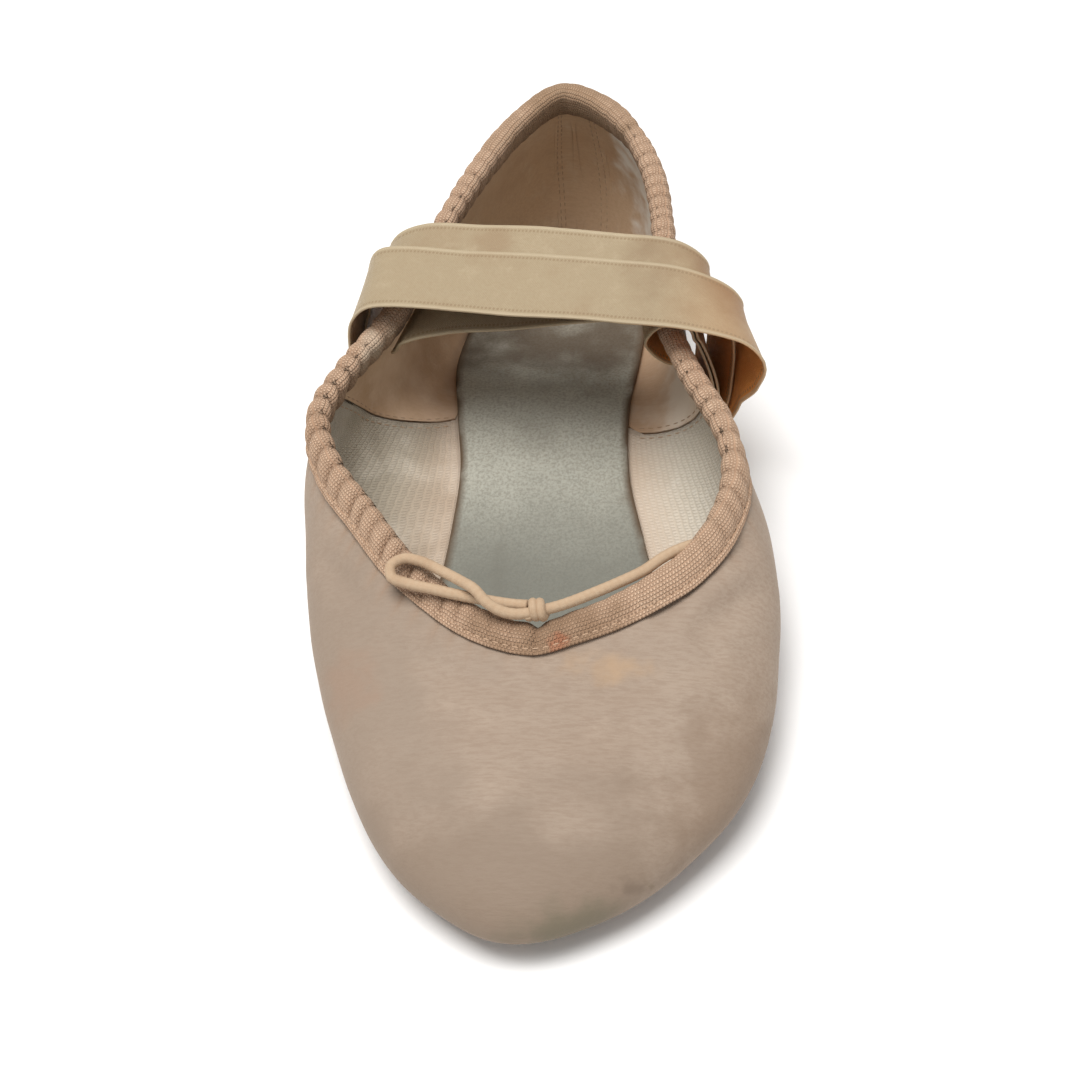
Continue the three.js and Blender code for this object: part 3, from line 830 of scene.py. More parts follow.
SATIN = Finish(
    name="matte_satin",
    base=colour(160, 143, 127),
    dark=colour(136, 115, 98),
    light=colour(175, 157, 139),
    roughness=0.66,
    sheen=0.25,
    mottle_size=46.0,
    mottle_amount=0.3,
    relief=0.14,
    grain=0.42,
    stretch=5.0,
    painted_shade_tint=colour(150, 118, 92),
    patches=(
        Patch((-37, 52, 24), (11, 12, 14), colour(168, 124, 98), 0.45, 5.0),
        # Darker toe: partly dirt, partly painted shade on the toe, which faces away from the light.
        Patch((-4, 6, 12), (60, 36, 30), colour(130, 113, 97), 0.75, 16.0),
        # Darker lower big-toe side: partly dirt, partly painted shade on the side turned from the light.
        Patch((44, 32, 12), (26, 34, 22), colour(126, 106, 88), 0.6, 8.0),
        # Painted shade darkening the little-toe side of the satin.
        Patch((-44, 48, 22), (42, 84, 36), colour(140, 124, 109), 0.65, 14.0),
        Patch((15, 3, 8), (19, 8, 9), colour(106, 101, 82), 0.65, 7.0),
        Patch((27, 10, 14), (9, 2.5, 4), colour(106, 90, 76), 0.5, 3.0),
        Patch((18, 52, 32), (14, 7, 8), colour(176, 146, 114), 0.6, 6.0),
        Patch((28, 12, 12), (2.2, 0.7, 3), colour(120, 104, 84), 0.7, 2.0),
    ),
)
LINING = Finish(
    name="lining_cloth",
    base=colour(212, 205, 191),
    dark=colour(186, 172, 152),
    light=colour(222, 217, 206),
    roughness=0.9,
    mottle_size=24.0,
    mottle_amount=0.4,
    thread=(0.85, 0.85),
    relief=0.14,
    gap=0.22,
    # Painted shade on the little-toe side's inner wall, which faces away from the light.
    patches=(Patch((-33, 112, 16), (26, 56, 26), colour(160, 150, 133), 0.9, 9.0),),
    from_uv=True,
    stretch=3.0,
    painted_shade_tint=colour(198, 166, 142),
)
HEEL_LINING = Finish(
    name="heel_lining_cloth",
    base=colour(214, 184, 153),
    dark=colour(176, 140, 108),
    light=colour(228, 206, 180),
    roughness=0.85,
    mottle_size=26.0,
    mottle_amount=0.5,
    relief=0.1,
    stretch=6.0,
    painted_shade_tint=colour(150, 118, 94),
    patches=(
        # Paler cloth on the heel lining's big-toe side, pushed to white as painted light where the lamp
        # leaves it in shadow.
        Patch((22, 206, 36), (21, 28, 40), colour(255, 252, 246), 1.0, 6.0),
        # Painted light on the little-toe side of the heel lining.
        Patch((-30, 150, 30), (16, 26, 26), colour(232, 206, 180), 0.7, 9.0),
        Patch((30, 150, 26), (16, 34, 28), colour(246, 236, 220), 0.8, 9.0),
        # Painted shade low in the back of the heel.
        Patch((-2, 216, 14), (16, 14, 9), colour(128, 102, 80), 0.55, 5.0),
    ),
)
TAPE = Finish(
    name="casing_tape",
    base=colour(203, 173, 147),
    dark=colour(178, 145, 118),
    light=colour(212, 187, 161),
    roughness=0.88,
    sheen=0.3,
    mottle_size=16.0,
    mottle_amount=0.45,
    thread=(0.75, 0.85),
    relief=0.3,
    gap=0.42,
    from_uv=True,
    painted_shade_tint=colour(108, 78, 56),
    patches=(
        Patch((-37, 132, 42), (8, 14, 12), colour(206, 188, 166), 0.75, 4.0),
        # Painted shade on the casing round the back of the heel.
        Patch((-2, 226, 52), (46, 34, 24), colour(146, 118, 90), 0.6, 7.0),
        # Painted shade on the casing at the throat, under the knot.
        Patch((6, 60, 28), (28, 13, 13), colour(146, 117, 92), 0.85, 5.0),
        Patch((8, 57, 30), (3, 3, 4), colour(176, 96, 62), 0.5, 2.0),
    ),
)
SUEDE = Finish(
    name="insole_suede",
    base=colour(180, 179, 167),
    dark=colour(130, 126, 115),
    light=colour(180, 182, 172),
    roughness=0.95,
    sheen=0.08,
    mottle_size=14.0,
    mottle_amount=0.3,
    relief=0.24,
    grain=0.6,
    painted_shade_tint=colour(96, 80, 64),
    specular=0.15,
    patches=(
        Patch((-11, 96, 8), (3.5, 22, 6), colour(136, 126, 112), 0.5, 4.0),
        # Darker front and middle of the sock: partly dirt, partly painted shade under the vamp.
        Patch((4, 92, 5), (84, 48, 24), colour(115, 115, 107), 0.85, 70.0),
        # Painted shadow of the ribbons on the back of the sock.
        Patch((2, 182, 9), (44, 30, 20), colour(82, 68, 54), 0.85, 16.0),
    ),
)
SOLE_SUEDE = Finish(
    name="sole_suede",
    base=colour(168, 146, 124),
    dark=colour(118, 100, 84),
    light=colour(190, 170, 148),
    roughness=0.93,
    sheen=0.25,
    mottle_size=18.0,
    mottle_amount=0.6,
    relief=0.25,
    painted_shade_tint=colour(110, 92, 76),
    specular=0.15,
    patches=(
        Patch((2, 62, 0), (22, 32, 6), colour(84, 74, 66), 0.7, 7.0),
        Patch((-6, 205, 0), (14, 18, 6), colour(88, 78, 68), 0.65, 7.0),
    ),
)
RIBBON = Finish(
    name="ribbon_satin",
    base=colour(170, 153, 124),
    dark=colour(150, 123, 93),
    light=colour(186, 170, 141),
    roughness=0.5,
    sheen=0.2,
    mottle_size=17.0,
    mottle_amount=0.5,
    thread=(0.55, 0.3),
    relief=0.05,
    from_uv=True,
    # Painted shade on the ribbons where they turn down the big-toe side, away from the light.
    patches=(Patch((50, 160, 42), (34, 60, 40), colour(124, 96, 68), 0.75, 14.0),),
    painted_shade_tint=colour(226, 146, 70),
    specular=0.45,
)
CORD = Finish(
    name="braided_cord",
    base=colour(184, 160, 133),
    dark=colour(158, 130, 104),
    light=colour(196, 174, 148),
    roughness=0.85,
    sheen=0.3,
    mottle_size=7.0,
    mottle_amount=0.4,
    relief=0.1,
    painted_shade_tint=colour(176, 142, 112),
)
THREAD = Finish(
    name="sewing_thread",
    base=colour(190, 162, 136),
    dark=colour(160, 130, 104),
    light=colour(206, 182, 156),
    roughness=0.7,
    mottle_size=5.0,
    relief=0.04,
)


# The sewn pieces


@dataclass
class Soles:
    """The outsole and the suede sock inside.

    Attributes:
        last: the form.
        stations: sections along a sole.
        sock_margin: how far the sock's edge lies in from the sole line.
    """

    last: Last
    stations: int = 150
    sock_margin: float = 0.8

    def _plate(
        self, name: str, height: float, thickness: float, margin: float, edge: float, ripple: float
    ) -> bpy.types.Object:
        """A sole-shaped plate.

        Args:
            name: the piece's name.
            height: its underside above the sole line.
            thickness: its thickness.
            margin: how far its edge is taken in.
            edge: the radius of its edge.
            ripple: how uneven its top is.

        Returns:
            The plate.
        """
        front, rear = self.last.sole_line[:, 1].min(), self.last.sole_line[:, 1].max()
        toe = front + margin
        heel = rear - margin
        share = 0.0008 + 0.9984 * (1 - np.cos(np.pi * np.linspace(0, 1, self.stations))) / 2
        ys = toe + share * (heel - toe)
        full = (rear - front) / (heel - toe)
        corner = np.radians(np.linspace(0, 90, 5))
        across = np.linspace(-1, 1, 25)
        uneven = Ripple(9.0, 11)
        rings = []
        for y in ys:
            on_sole = front + (y - toe) * full
            left = self.last.sole_edge(on_sole, Side.LITTLE_TOE)
            right = self.last.sole_edge(on_sole, Side.BIG_TOE)
            half = max(0.5, (right - left) / 2 - margin)
            centre = (left + right) / 2
            low = height + float(self.last.lift(y))
            radius = min(edge, thickness / 2 - 0.01, half * 0.8)
            flat = half - radius
            upper = thickness - radius
            top = [(x * flat, thickness) for x in across]
            right_edge = [(flat + radius * math.sin(a), upper + radius * math.cos(a)) for a in corner]
            right_low = [(flat + radius * math.cos(a), radius - radius * math.sin(a)) for a in corner]
            outline = top + right_edge[1:] + right_low + [(x * flat, 0) for x in across[::-1][1:]]
            outline += [(-x, z) for x, z in right_low[::-1][1:] + right_edge[::-1][:-1]]
            rings.append([(centre + x, y, low + z) for x, z in outline])
        rings = np.array(rings)
        is_top = rings[..., 2] > height + self.last.lift(rings[..., 1]) + thickness - 0.02
        rings[..., 2] += np.where(is_top, ripple * np.clip(uneven(rings), -1, 1), 0)
        middle = (rings[..., 0].max(1) + rings[..., 0].min(1))[:, None] / 2
        half_width = (rings[..., 0].max(1) - rings[..., 0].min(1))[:, None] / 2
        inset = half_width - np.abs(rings[..., 0] - middle)
        ends = np.minimum(rings[..., 1] - toe, heel - rings[..., 1])
        ragged = 0.5 * Ripple(5.0, 12)(rings)
        shade = 1 - smooth(np.minimum(inset, ends) + ragged, 0.2, 1.8)
        return tube_mesh(name, rings, False, values={"shade": shade})

    def build(self) -> None:
        """Makes both soles and dresses them."""
        outsole = self._plate("outsole_suede", 0.0, self.last.outsole, 0.0, 0.7, 0.0)
        finished(outsole, SOLE_SUEDE.build(), Slot.SOLE, "outsole")
        height = self.last.outsole + self.last.clearance + self.last.wall + self.last.clearance
        sock = self._plate("sock_suede", height, self.last.insole, self.sock_margin, 0.4, 0.12)
        finished(sock, SUEDE.build(), Slot.SOCK, "insole")


@dataclass(frozen=True)
class Crease:
    """A soft trough in the satin, along a line seen from above.

    Attributes:
        start: one end, x and y.
        end: the other end.
        width: half of its width.
        depth: how deep it is. A ridge has a negative depth.
    """

    start: tuple[float, float]
    end: tuple[float, float]
    width: float
    depth: float


CREASES = (
    Crease((-16, 50), (10, 46), 2.6, 0.80),
    Crease((4, 53), (30, 58), 2.4, 0.72),
    Crease((14, 46), (38, 56), 3.0, 0.80),
    Crease((-34, 62), (-14, 52), 2.4, 0.64),
    Crease((-10, 40), (22, 38), 3.4, 0.56),
    Crease((28, 66), (44, 84), 2.4, 0.88),
    Crease((36, 62), (48, 76), 2.6, 0.72),
    Crease((-46, 84), (-36, 72), 2.4, 0.72),
    Crease((-20, 34), (4, 30), 4.0, 0.48),
    Crease((6, 24), (34, 28), 4.0, 0.48),
)


@dataclass
class Puckers:
    """The gathers that the drawstring pulls into the casing.

    Attributes:
        last: the form.
        seed: what the gathers' places are drawn from.
    """

    last: Last
    seed: int = 5

    def __post_init__(self) -> None:
        """Draws the gathers round the rim."""
        draw = np.random.default_rng(self.seed)
        self.length = float(self.last.rim_distance(np.array([1.0]))[0])
        places = [0.0]
        while places[-1] < self.length - 2:
            places.append(places[-1] + self.spacing(places[-1]) * (0.75 + 0.5 * draw.random()))
        self.places = np.array(places[:-1] + [self.length])
        self.depths = 0.55 + 0.45 * draw.random(len(self.places))

    def spacing(self, distance: float) -> float:
        """The mean distance between two gathers at a distance along the rim."""
        share = distance / self.length
        return 4.6 - 0.5 * float(smooth(share, 0.22, 0.3) - smooth(share, 0.55, 0.64))

    def strength(self, distance: np.ndarray) -> np.ndarray:
        """How tightly the casing is gathered at a distance along the rim, 0 to 1."""
        share = distance / self.length
        little_toe = smooth(share, 0.7, 0.78) * (1 - 0.75 * smooth(share, 0.93, 0.99))
        big_toe = 0.55 * smooth(share, 0.08, 0.13) * (1 - smooth(share, 0.22, 0.26))
        heel_right = 0.42 * smooth(share, 0.28, 0.34) * (1 - smooth(share, 0.42, 0.47))
        heel_left = 0.4 * smooth(share, 0.55, 0.6) * (1 - smooth(share, 0.64, 0.68))
        return np.clip(0.16 + 0.84 * little_toe + big_toe + heel_right + heel_left, 0, 1)

    def __call__(self, distance: np.ndarray) -> np.ndarray:
        """How deep the casing dips at a distance along the rim: 0 on a puff, up to 1 between two puffs."""
        phase = np.interp(distance % self.length, self.places, np.arange(len(self.places)))
        puff = np.abs(np.sin(np.pi * phase)) ** 0.6
        depth = np.interp(phase, np.arange(len(self.places)), self.depths)
        return (1 - puff) * depth * self.strength(distance % self.length)


def seam_turn(shares: np.ndarray, side: Side) -> np.ndarray:
    """The turns of the slanted seam between the forefoot's lining and the heel's."""
    return 0.335 - 0.011 * shares if side is Side.BIG_TOE else 0.6556 + 0.0267 * shares


@dataclass
class Upper:
    """The satin shell and its linings.

    Attributes:
        last: the form.
        puckers: the casing's gathers, which run on into the satin.
        skin: the satin's thickness.
        ease: the gap between the satin and a lining.
    """

    last: Last
    puckers: Puckers
    skin: float = 0.7
    ease: float = 0.05

    def _wall(
        self,
        name: str,
        turns: np.ndarray,
        shares: np.ndarray,
        depth: tuple[float, float],
        looped: bool,
        relief: Relief,
    ) -> bpy.types.Object:
        """A wall between two depths under the outer face.

        Args:
            name: the piece's name.
            turns: the turns of its sections, one for each or one for each point.
            shares: the shares up the wall of its points.
            depth: how deep its outer and inner faces lie.
            looped: whether it goes all the way round.
            relief: gives how far each point is pushed out, from its place and distance along the rim.

        Returns:
            The wall.
        """
        if turns.ndim == 1:
            turns = np.repeat(turns[:, None], len(shares), axis=1)
        columns = [(turns[:, j], shares[j : j + 1]) for j in range(len(shares))]
        base = np.concatenate([self.last.wall_at(*column) for column in columns], axis=1)
        normal = np.concatenate([self.last.normals_at(*column) for column in columns], axis=1)
        along = self.last.rim_distance(turns % 1.0)
        push, shade = relief(base, along, shares)
        outer = base + normal * (push - depth[0])[..., None]
        inner = base + normal * (push * 0.8 - depth[1])[..., None]
        rings = np.concatenate([outer, inner[:, ::-1]], axis=1)
        heights = lengths_along(base[len(turns) // 3])
        around = np.concatenate([heights, heights[::-1], heights[:1]])
        uv_along = lengths_along(base[:, len(shares) // 2])
        uv_along = np.append(uv_along, uv_along[-1] + 0.4)
        values = {"shade": np.concatenate([shade, shade[:, ::-1]], axis=1)}
        return tube_mesh(name, rings, looped, uv_along, around, values)

    def _satin_relief(
        self, base: np.ndarray, along: np.ndarray, shares: np.ndarray
    ) -> tuple[np.ndarray, np.ndarray]:
        """The satin's folds.

        Args:
            base: the points of the outer face.
            along: their distances along the rim.
            shares: their shares up the wall.

        Returns:
            How far each point is pushed out, and how shaded it is.
        """
        push = 0.22 * Ripple(34, 3)(base) + 0.08 * Ripple(11, 4)(base)
        free = smooth(shares, 0.1, 0.7)[None, :]
        for crease in CREASES:
            start = np.array(crease.start)
            line = np.array(crease.end) - start
            away = base[..., :2] - start
            t = np.clip((away @ line) / (line @ line), 0, 1)
            off = np.linalg.norm(away - t[..., None] * line, axis=-1)
            ends = np.sin(np.pi * np.clip(0.12 + 0.76 * t, 0, 1)) ** 0.6
            high = smooth(shares, 0.9, 1.2)[None, :]
            trough = bump(off, crease.width) - 0.45 * bump(off - 2 * crease.width, crease.width)
            push -= high * ends * crease.depth * trough
        from_rim = np.linalg.norm(base - base[:, -1:], axis=-1)
        gathers = self.puckers(along) * bump(np.maximum(0, from_rim - 5.5), 4.0)
        push = push * free - 0.55 * gathers * smooth(shares, 0.6, 1.1)[None, :]
        near_sole = 1 - smooth(shares, 0.05, 0.6)[None, :]
        return push, np.clip(0.55 * gathers + 0.45 * near_sole, 0, 1)

    def _lining_relief(
        self, base: np.ndarray, along: np.ndarray, shares: np.ndarray
    ) -> tuple[np.ndarray, np.ndarray]:
        """The lining's soft waves, and its shaded edges. It takes and returns what the satin's does."""
        free = smooth(shares, 0.0, 0.3)[None, :] * (1 - smooth(shares, 1.85, 2.0)[None, :])
        push = -0.18 * (1 + Ripple(16, 8)(base) * 0.5) * free
        low = 1 - smooth(shares, -0.2, 0.5)[None, :]
        return push, np.broadcast_to(0.5 * low, push.shape)

    def build(self) -> None:
        """Makes the satin and the linings."""
        turns = np.linspace(0, 1, 900, endpoint=False)
        shares = joined((-1, 0, 4), (0, 1, 16), (1, 2, 30))
        satin = self._wall("satin_upper", turns, shares, (0.0, self.skin), True, self._satin_relief)
        finished(satin, SATIN.build(), Slot.SATIN, "upper")
        depth = (self.skin + self.ease, self.last.wall)
        shares = joined((-0.9, 0, 4), (0, 1, 18), (1, 1.985, 24))
        big, little = seam_turn(shares, Side.BIG_TOE), seam_turn(shares, Side.LITTLE_TOE)
        mix = np.linspace(0, 1, 320)[:, None]
        front = (little - 1) * (1 - mix) + big * mix
        back = (big + 0.0012) * (1 - mix) + (little - 0.0012) * mix
        for name, turns, finish in (("lining_forefoot", front, LINING), ("lining_heel", back, HEEL_LINING)):
            piece = self._wall(name, turns, shares, depth, False, self._lining_relief)
            finished(piece, finish.build(), Slot.SATIN)


@dataclass
class Casing:
    """The gathered tape bound over the rim.

    Attributes:
        last: the form.
        puckers: its gathers.
        cap: how far it stands above the rim.
        skin: the tape's thickness.
        ease: the gap between the tape and the wall.
    """

    last: Last
    puckers: Puckers
    cap: float = 2.3
    skin: float = 1.25
    ease: float = 0.35

    def _outline(self) -> tuple[np.ndarray, np.ndarray]:
        """The casing's cross-section: how far down from the rim each point lies, and how far out."""
        depth, wall, ease = self.last.casing_depth, self.last.wall, self.ease
        stitched = depth - self.last.casing_hem
        dent, full = ease + 0.42, ease + 0.85
        lip = ease + self.skin
        swell = lip + 0.45
        outline = [(depth, ease + 0.1), (depth + 0.1, ease + 0.45), (depth - 0.15, ease + 0.8)]
        outline += [(stitched + 0.25, full), (stitched, dent), (stitched - 0.25, full)]
        puff = stitched - 0.25
        rise = swell - ease - 0.85
        for t in np.linspace(0.1, 1, 12):
            outline.append((puff * (1 - t), swell - rise * (1 - math.sin(math.pi * min(1, t * 1.5) / 2))))
        half = swell + wall / 2
        arch = np.radians(np.linspace(0, 180, 17))[1:-1]
        outline += [(-self.cap * math.sin(a), -wall / 2 + half * math.cos(a)) for a in arch]
        for t in np.linspace(1, 0.1, 10):
            bulge = (swell - lip) * math.sin(math.pi * min(1, t * 1.3) / 2)
            outline.append((depth * (1 - t), -wall - lip - bulge))
        outline += [(depth - 0.2, -wall - lip), (depth, -wall - lip * 0.6), (depth, -wall - ease)]
        outline += [(depth / 2, -wall - ease), (-ease, -wall - ease), (-ease, ease), (depth / 2, ease)]
        down, out = np.array(outline).T
        return down, out

    def build(self) -> None:
        """Makes the casing."""
        wall = self.last.wall
        down, out = self._outline()
        turns = np.linspace(0, 1, 1500, endpoint=False)
        along = self.last.rim_distance(turns)
        gathers = self.puckers(along)[:, None]
        inner = (out <= -wall / 2).astype(float)
        skin = smooth(np.abs(out + wall / 2) - wall / 2, self.ease + 0.5, self.ease + self.skin)
        roof = smooth(-down, 0.2, self.cap)
        soft = Ripple(9, 21)(along[:, None] * [1.0, 0.0, 0.0])[:, None]
        face = np.maximum(skin, roof)
        pull = (1.25 * gathers - 0.12 * soft) * face
        notch = 1.3 * bump(np.minimum(along, self.puckers.length - along), 1.3)[:, None]
        sign = np.where(out > -wall / 2, 1.0, -1.0)
        outward = out - sign * np.minimum(pull + 0.7 * notch * skin, self.skin * 0.85)
        rings = self.last.by_rim(turns, down, outward)
        rings[..., 2] -= np.clip(0.6 * pull * roof + 1.2 * notch * roof, 0, None)
        girth = lengths_along(rings[0])
        around = np.append(girth, girth[-1] + 1)
        shade = np.clip(0.75 * gathers * (0.3 + 0.7 * face) + 0.3 * inner * smooth(down, 2, 5), 0, 1)
        seam = np.append(along, self.puckers.length)
        piece = tube_mesh("gathered_casing", rings, True, seam, around, {"shade": shade})
        finished(piece, TAPE.build(), Slot.TAPE, "casing")


# The ribbons


@dataclass
class Ribbons:
    """The two satin ribbons, sewn inside the waist and wound round the shoe.

    Attributes:
        last: the form.
        width: a ribbon's width.
        thickness: its thickness.
        spacing: the gap between two layers.
        tuck: how far below the casing its sewn end starts.
        slant: how far a turn runs forward for its way across.
        ease: its gap to the casing's sides.
        top_ease: its gap to the casing's top.
        wall_ease: its gap to the wall.
        arch_room: how high under the arch its top layer lies, a share of the arch's height.
        casing_cap: how far the casing stands above the rim.
        casing_reach: how far the casing stands out from the wall.
        snug_little_toe: half of a tight turn's width, at the little-toe side.
        snug_big_toe: the same at the big-toe side.
    """

    last: Last
    width: float = 21.0
    thickness: float = 0.5
    spacing: float = 0.5
    tuck: float = 2.5
    slant: float = 0.155
    ease: float = 1.4
    top_ease: float = 0.8
    wall_ease: float = 2.5
    arch_room: float = 0.81
    casing_cap: float = 2.5
    casing_reach: float = 2.1
    snug_little_toe: float = 42.4
    snug_big_toe: float = 38.56

    # One turn round the waist: across, level, loose, bend, back, lean and rise of each stop
    TURN_STOPS = (
        (-0.3, 0, 0, 0, 0.1, 0, 0),
        (-0.62, 0, 0, 0, 0.15, 0.05, 0),
        (-0.79, 0.045, 0.6, 0, 0.2, 0.12, 0),
        (-0.95, 0.16, 1, 0, 0.3, 0.2, 0),
        (-1.03, 0.32, 1, 0, 0.42, 0.2, 0),
        (-1.02, 0.52, 1, 0, 0.6, 0.17, 0.02),
        (-1, 0.7, 1, 0.1, 0.85, 0.15, 0.05),
        (-0.95, 0.87, 1, 0.35, 1, 0.08, 0.1),
        (-0.81, 0.96, 0.8, 1, 1, 0.02, 0.13),
        (-0.4, 0.99, 0.2, 0.2, 1, 0, 0.13),
        (0, 1, 0, 0, 1, 0, 0.13),
        (0.4, 1, 0, 0, 1, 0, 0.1),
        (0.75, 0.985, 0.3, 0, 1, -0.08, 0.05),
        (0.93, 0.915, 0.8, 0, 1, -0.18, -0.07),
        (0.98, 0.83, 1, 0, 1, -0.28, -0.08),
        (1, 0.72, 0.8, 0, 0.85, -0.3, 0),
        (1, 0.57, 0.4, 0, 0.5, -0.28, 0),
        (0.98, 0.4, 0.2, 0, 0.2, -0.26, 0),
        (0.9, 0.2, 0.16, 0, 0.05, -0.24, 0),
        (0.74, 0.06, 0.12, 0, 0, -0.12, 0),
        (0.45, 0, 0, 0, 0, -0.05, 0),
        (0.1, 0, 0, 0, 0, 0, 0),
    )
    # The turns: slack at the little-toe and big-toe side, corner, top, shift, lie, first and last layer
    TURNS = ((0, 0.05, -0.13, 0.989, 0.36, 1, 0, 2), (0.105, 0.41, 0.2, 1.014, -0.18, 0.4, 2, 3))
    # The short ribbon's way over the heel's opening: across, back and level of each stop
    CROSSING = ((-0.566, 0.17, 0.825), (-0.189, 0.08, 0.882), (0.189, 0.06, 0.912), (0.44, 0.06, 0.92))

    def _under(self, layer: int) -> float:
        """The height of a layer under the arch."""
        pitch = self.thickness + self.spacing
        top = self.last.arch_height * self.arch_room - self.last.clearance - self.thickness / 2
        return top - layer * pitch

    def _by_casing(self, y: float, side: Side, layer: int) -> Stops:
        """Stops from inside the wall up past the casing and down outside it.

        Args:
            y: where along the shoe the ribbon crosses the rim.
            side: the side that it crosses.
            layer: how many layers lie under it.

        Returns:
            The stops.
        """
        turn = self.last.rim_turn(y, side)
        wall = self.last.wall
        gap = self.last.clearance + self.thickness / 2 + layer * (self.thickness + self.spacing)
        eased = gap + self.ease
        beside = np.array([turn - 1e-3, turn + 1e-3])
        near = self.last.by_rim(beside, np.array([0.0]), np.zeros((2, 1)))[:, 0]
        edge = unit(near[1] - near[0]) * side.value
        depth, cap, bulge = self.last.casing_depth, self.casing_cap, self.casing_reach
        rows = (
            (depth + self.tuck, -wall - gap - bulge / 2),
            (depth + self.tuck / 2, -wall - gap - bulge),
            (depth / 2, -wall - bulge - eased),
            (-cap / 2, -wall - bulge - eased),
            (-cap - 1.4 * gap - self.top_ease, -wall / 2),
            (-cap / 2, bulge + eased),
            (depth, bulge + eased),
        )
        stops = []
        for down, out in rows:
            at = self.last.by_rim(np.array([turn]), np.array([down]), np.array([[out]]))[0, 0]
            stops.append((at, edge))
        return stops

    def _down_wall(self, y: float, layer: int) -> Stops:
        """Stops down the outside of the big-toe side's wall and in under the arch.

        Args:
            y: where along the shoe the ribbon goes down.
            layer: how many layers lie under it.

        Returns:
            The stops.
        """
        turn = self.last.rim_turn(y, Side.BIG_TOE)
        gap = self.wall_ease + self.thickness + layer * (self.thickness + self.spacing)
        rows = ((1, gap, 0), (0.5, gap * 0.8, -gap * 0.6), (0, gap * 0.6, gap * 0.1), (0, -gap * 5, 0))
        beside = np.array([turn - 1e-3, turn, turn + 1e-3])
        stops = []
        for share, across, rise in rows:
            around = self.last.wall_at(beside, np.array([min(share, 0.9999)]))[:, 0]
            edge = around[2] - around[0]
            edge[2] = 0
            at = around[1].copy()
            at[0] += across
            at[1] = y
            at[2] = at[2] + rise if share > 0 else self._under(layer) + rise
            stops.append((at, unit(edge)))
        return stops

    def _round(self, row: tuple[float, ...]) -> Stops:
        """Stops of one turn round the waist.

        Args:
            row: a row of TURNS.

        Returns:
            The stops.
        """
        slack_little, slack_big, corner, top, shift, lie, start, end = row
        stops = []
        for i, (across, level, loose, bend, back, lean, rise) in enumerate(self.TURN_STOPS):
            bottom = self._under(start if i < len(self.TURN_STOPS) / 2 else end)
            slack = loose * self.width
            if across < 0:
                x = across * self.snug_little_toe - slack * slack_little - bend * corner * self.width
            else:
                x = across * self.snug_big_toe + slack * slack_big
            y = self.last.arch_centre + back * (shift * self.width - self.slant * x)
            z = bottom + level * (top * self.last.heel_height - bottom)
            stops.append((np.array([x, y, z]), np.array([lean, 1.0, rise * lie])))
        return stops

    def _end(self, layer: int) -> tuple[np.ndarray, np.ndarray]:
        """The last stop, under the arch."""
        x = -0.42 * self.snug_little_toe
        y = self.last.arch_centre + 0.08 * self.width
        return np.array([x, y, self._under(layer)]), np.array([0.0, 1.0, 0.0])

    def big_toe_stops(self) -> Stops:
        """The route of the ribbon sewn inside the big-toe side."""
        centre = self.last.arch_centre
        stops = self._by_casing(centre, Side.BIG_TOE, 0) + self._down_wall(centre, 0)
        for row in self.TURNS:
            stops += self._round(row)
        return stops + [self._end(3)]

    def little_toe_stops(self) -> Stops:
        """The route of the ribbon sewn inside the little-toe side."""
        centre = self.last.arch_centre
        stops = self._by_casing(centre + 0.23 * self.width, Side.LITTLE_TOE, 0)[:3]
        for across, back, level in self.CROSSING:
            x, y, z = across * self.snug_little_toe, centre + back * self.width, level * self.last.heel_height
            stops.append((np.array([x, y, z]), np.array([0.0, 1.0, 0.12])))
        stops += self._by_casing(centre, Side.BIG_TOE, 1)[4:]
        return stops + self._down_wall(centre, 1) + [self._end(1)]

    def _band(self, name: str, stops: Stops, seed: int) -> tuple[bpy.types.Object, float]:
        """A ribbon with ribbed selvedges.

        Args:
            name: the piece's name.
            stops: what it runs through.
            seed: what its waves are drawn from.

        Returns:
            The ribbon and its length.
        """
        path = open_spline([stop[0] for stop in stops], 60)
        edges = open_spline([stop[1] for stop in stops], 60)
        middle, edge = resampled(path, 0.9, edges)
        tangent = unit(np.gradient(middle, axis=0))
        edge = unit(edge - tangent * (edge * tangent).sum(1, keepdims=True))
        face = np.cross(edge, tangent)
        half = self.width / 2
        selvedge = np.array([0.915, 0.93, 0.955, 0.985, 1])
        across = np.concatenate([-selvedge[::-1], np.linspace(-0.88, 0.88, 19), selvedge])
        thick = np.where(np.abs(across) > 0.92, 0.3, 0.17)
        thick = np.where(np.abs(across) > 0.99, 0.18, thick)
        along = lengths_along(middle)
        top = middle[:, None] + edge[:, None] * (across * half)[None, :, None]
        wave = Ripple(15, seed)(top) * 0.03 + Ripple(26, 50)(top) * 0.2
        free = smooth(middle[:, 2], 8, 26)[:, None]
        curl = 0.05 * np.sin(along / 7.5 + seed)[:, None] * (np.abs(across) ** 3)[None, :]
        offset = (wave + curl) * free
        upper = top + face[:, None] * (offset + thick[None, :])[..., None]
        lower = top + face[:, None] * (offset - thick[None, :])[..., None]
        rings = np.concatenate([upper, lower[:, ::-1]], axis=1)
        around = np.concatenate([across, across[::-1], across[:1]]) * half + half
        # Painted orange glow and shade on the inner faces, strongest towards the big-toe side, and a little
        # on the outer faces there.
        inside = np.concatenate([np.ones(len(across)), np.zeros(len(across))])
        under = inside * (0.25 + 0.75 * smooth(rings[..., 0], 14, 26))
        shade = 0.95 * under + 0.15 * (1 - inside) * smooth(rings[..., 0], 24, 44)
        piece = tube_mesh(name, rings, False, along, around, {"shade": np.clip(shade, 0, 1)})
        return piece, float(along[-1])

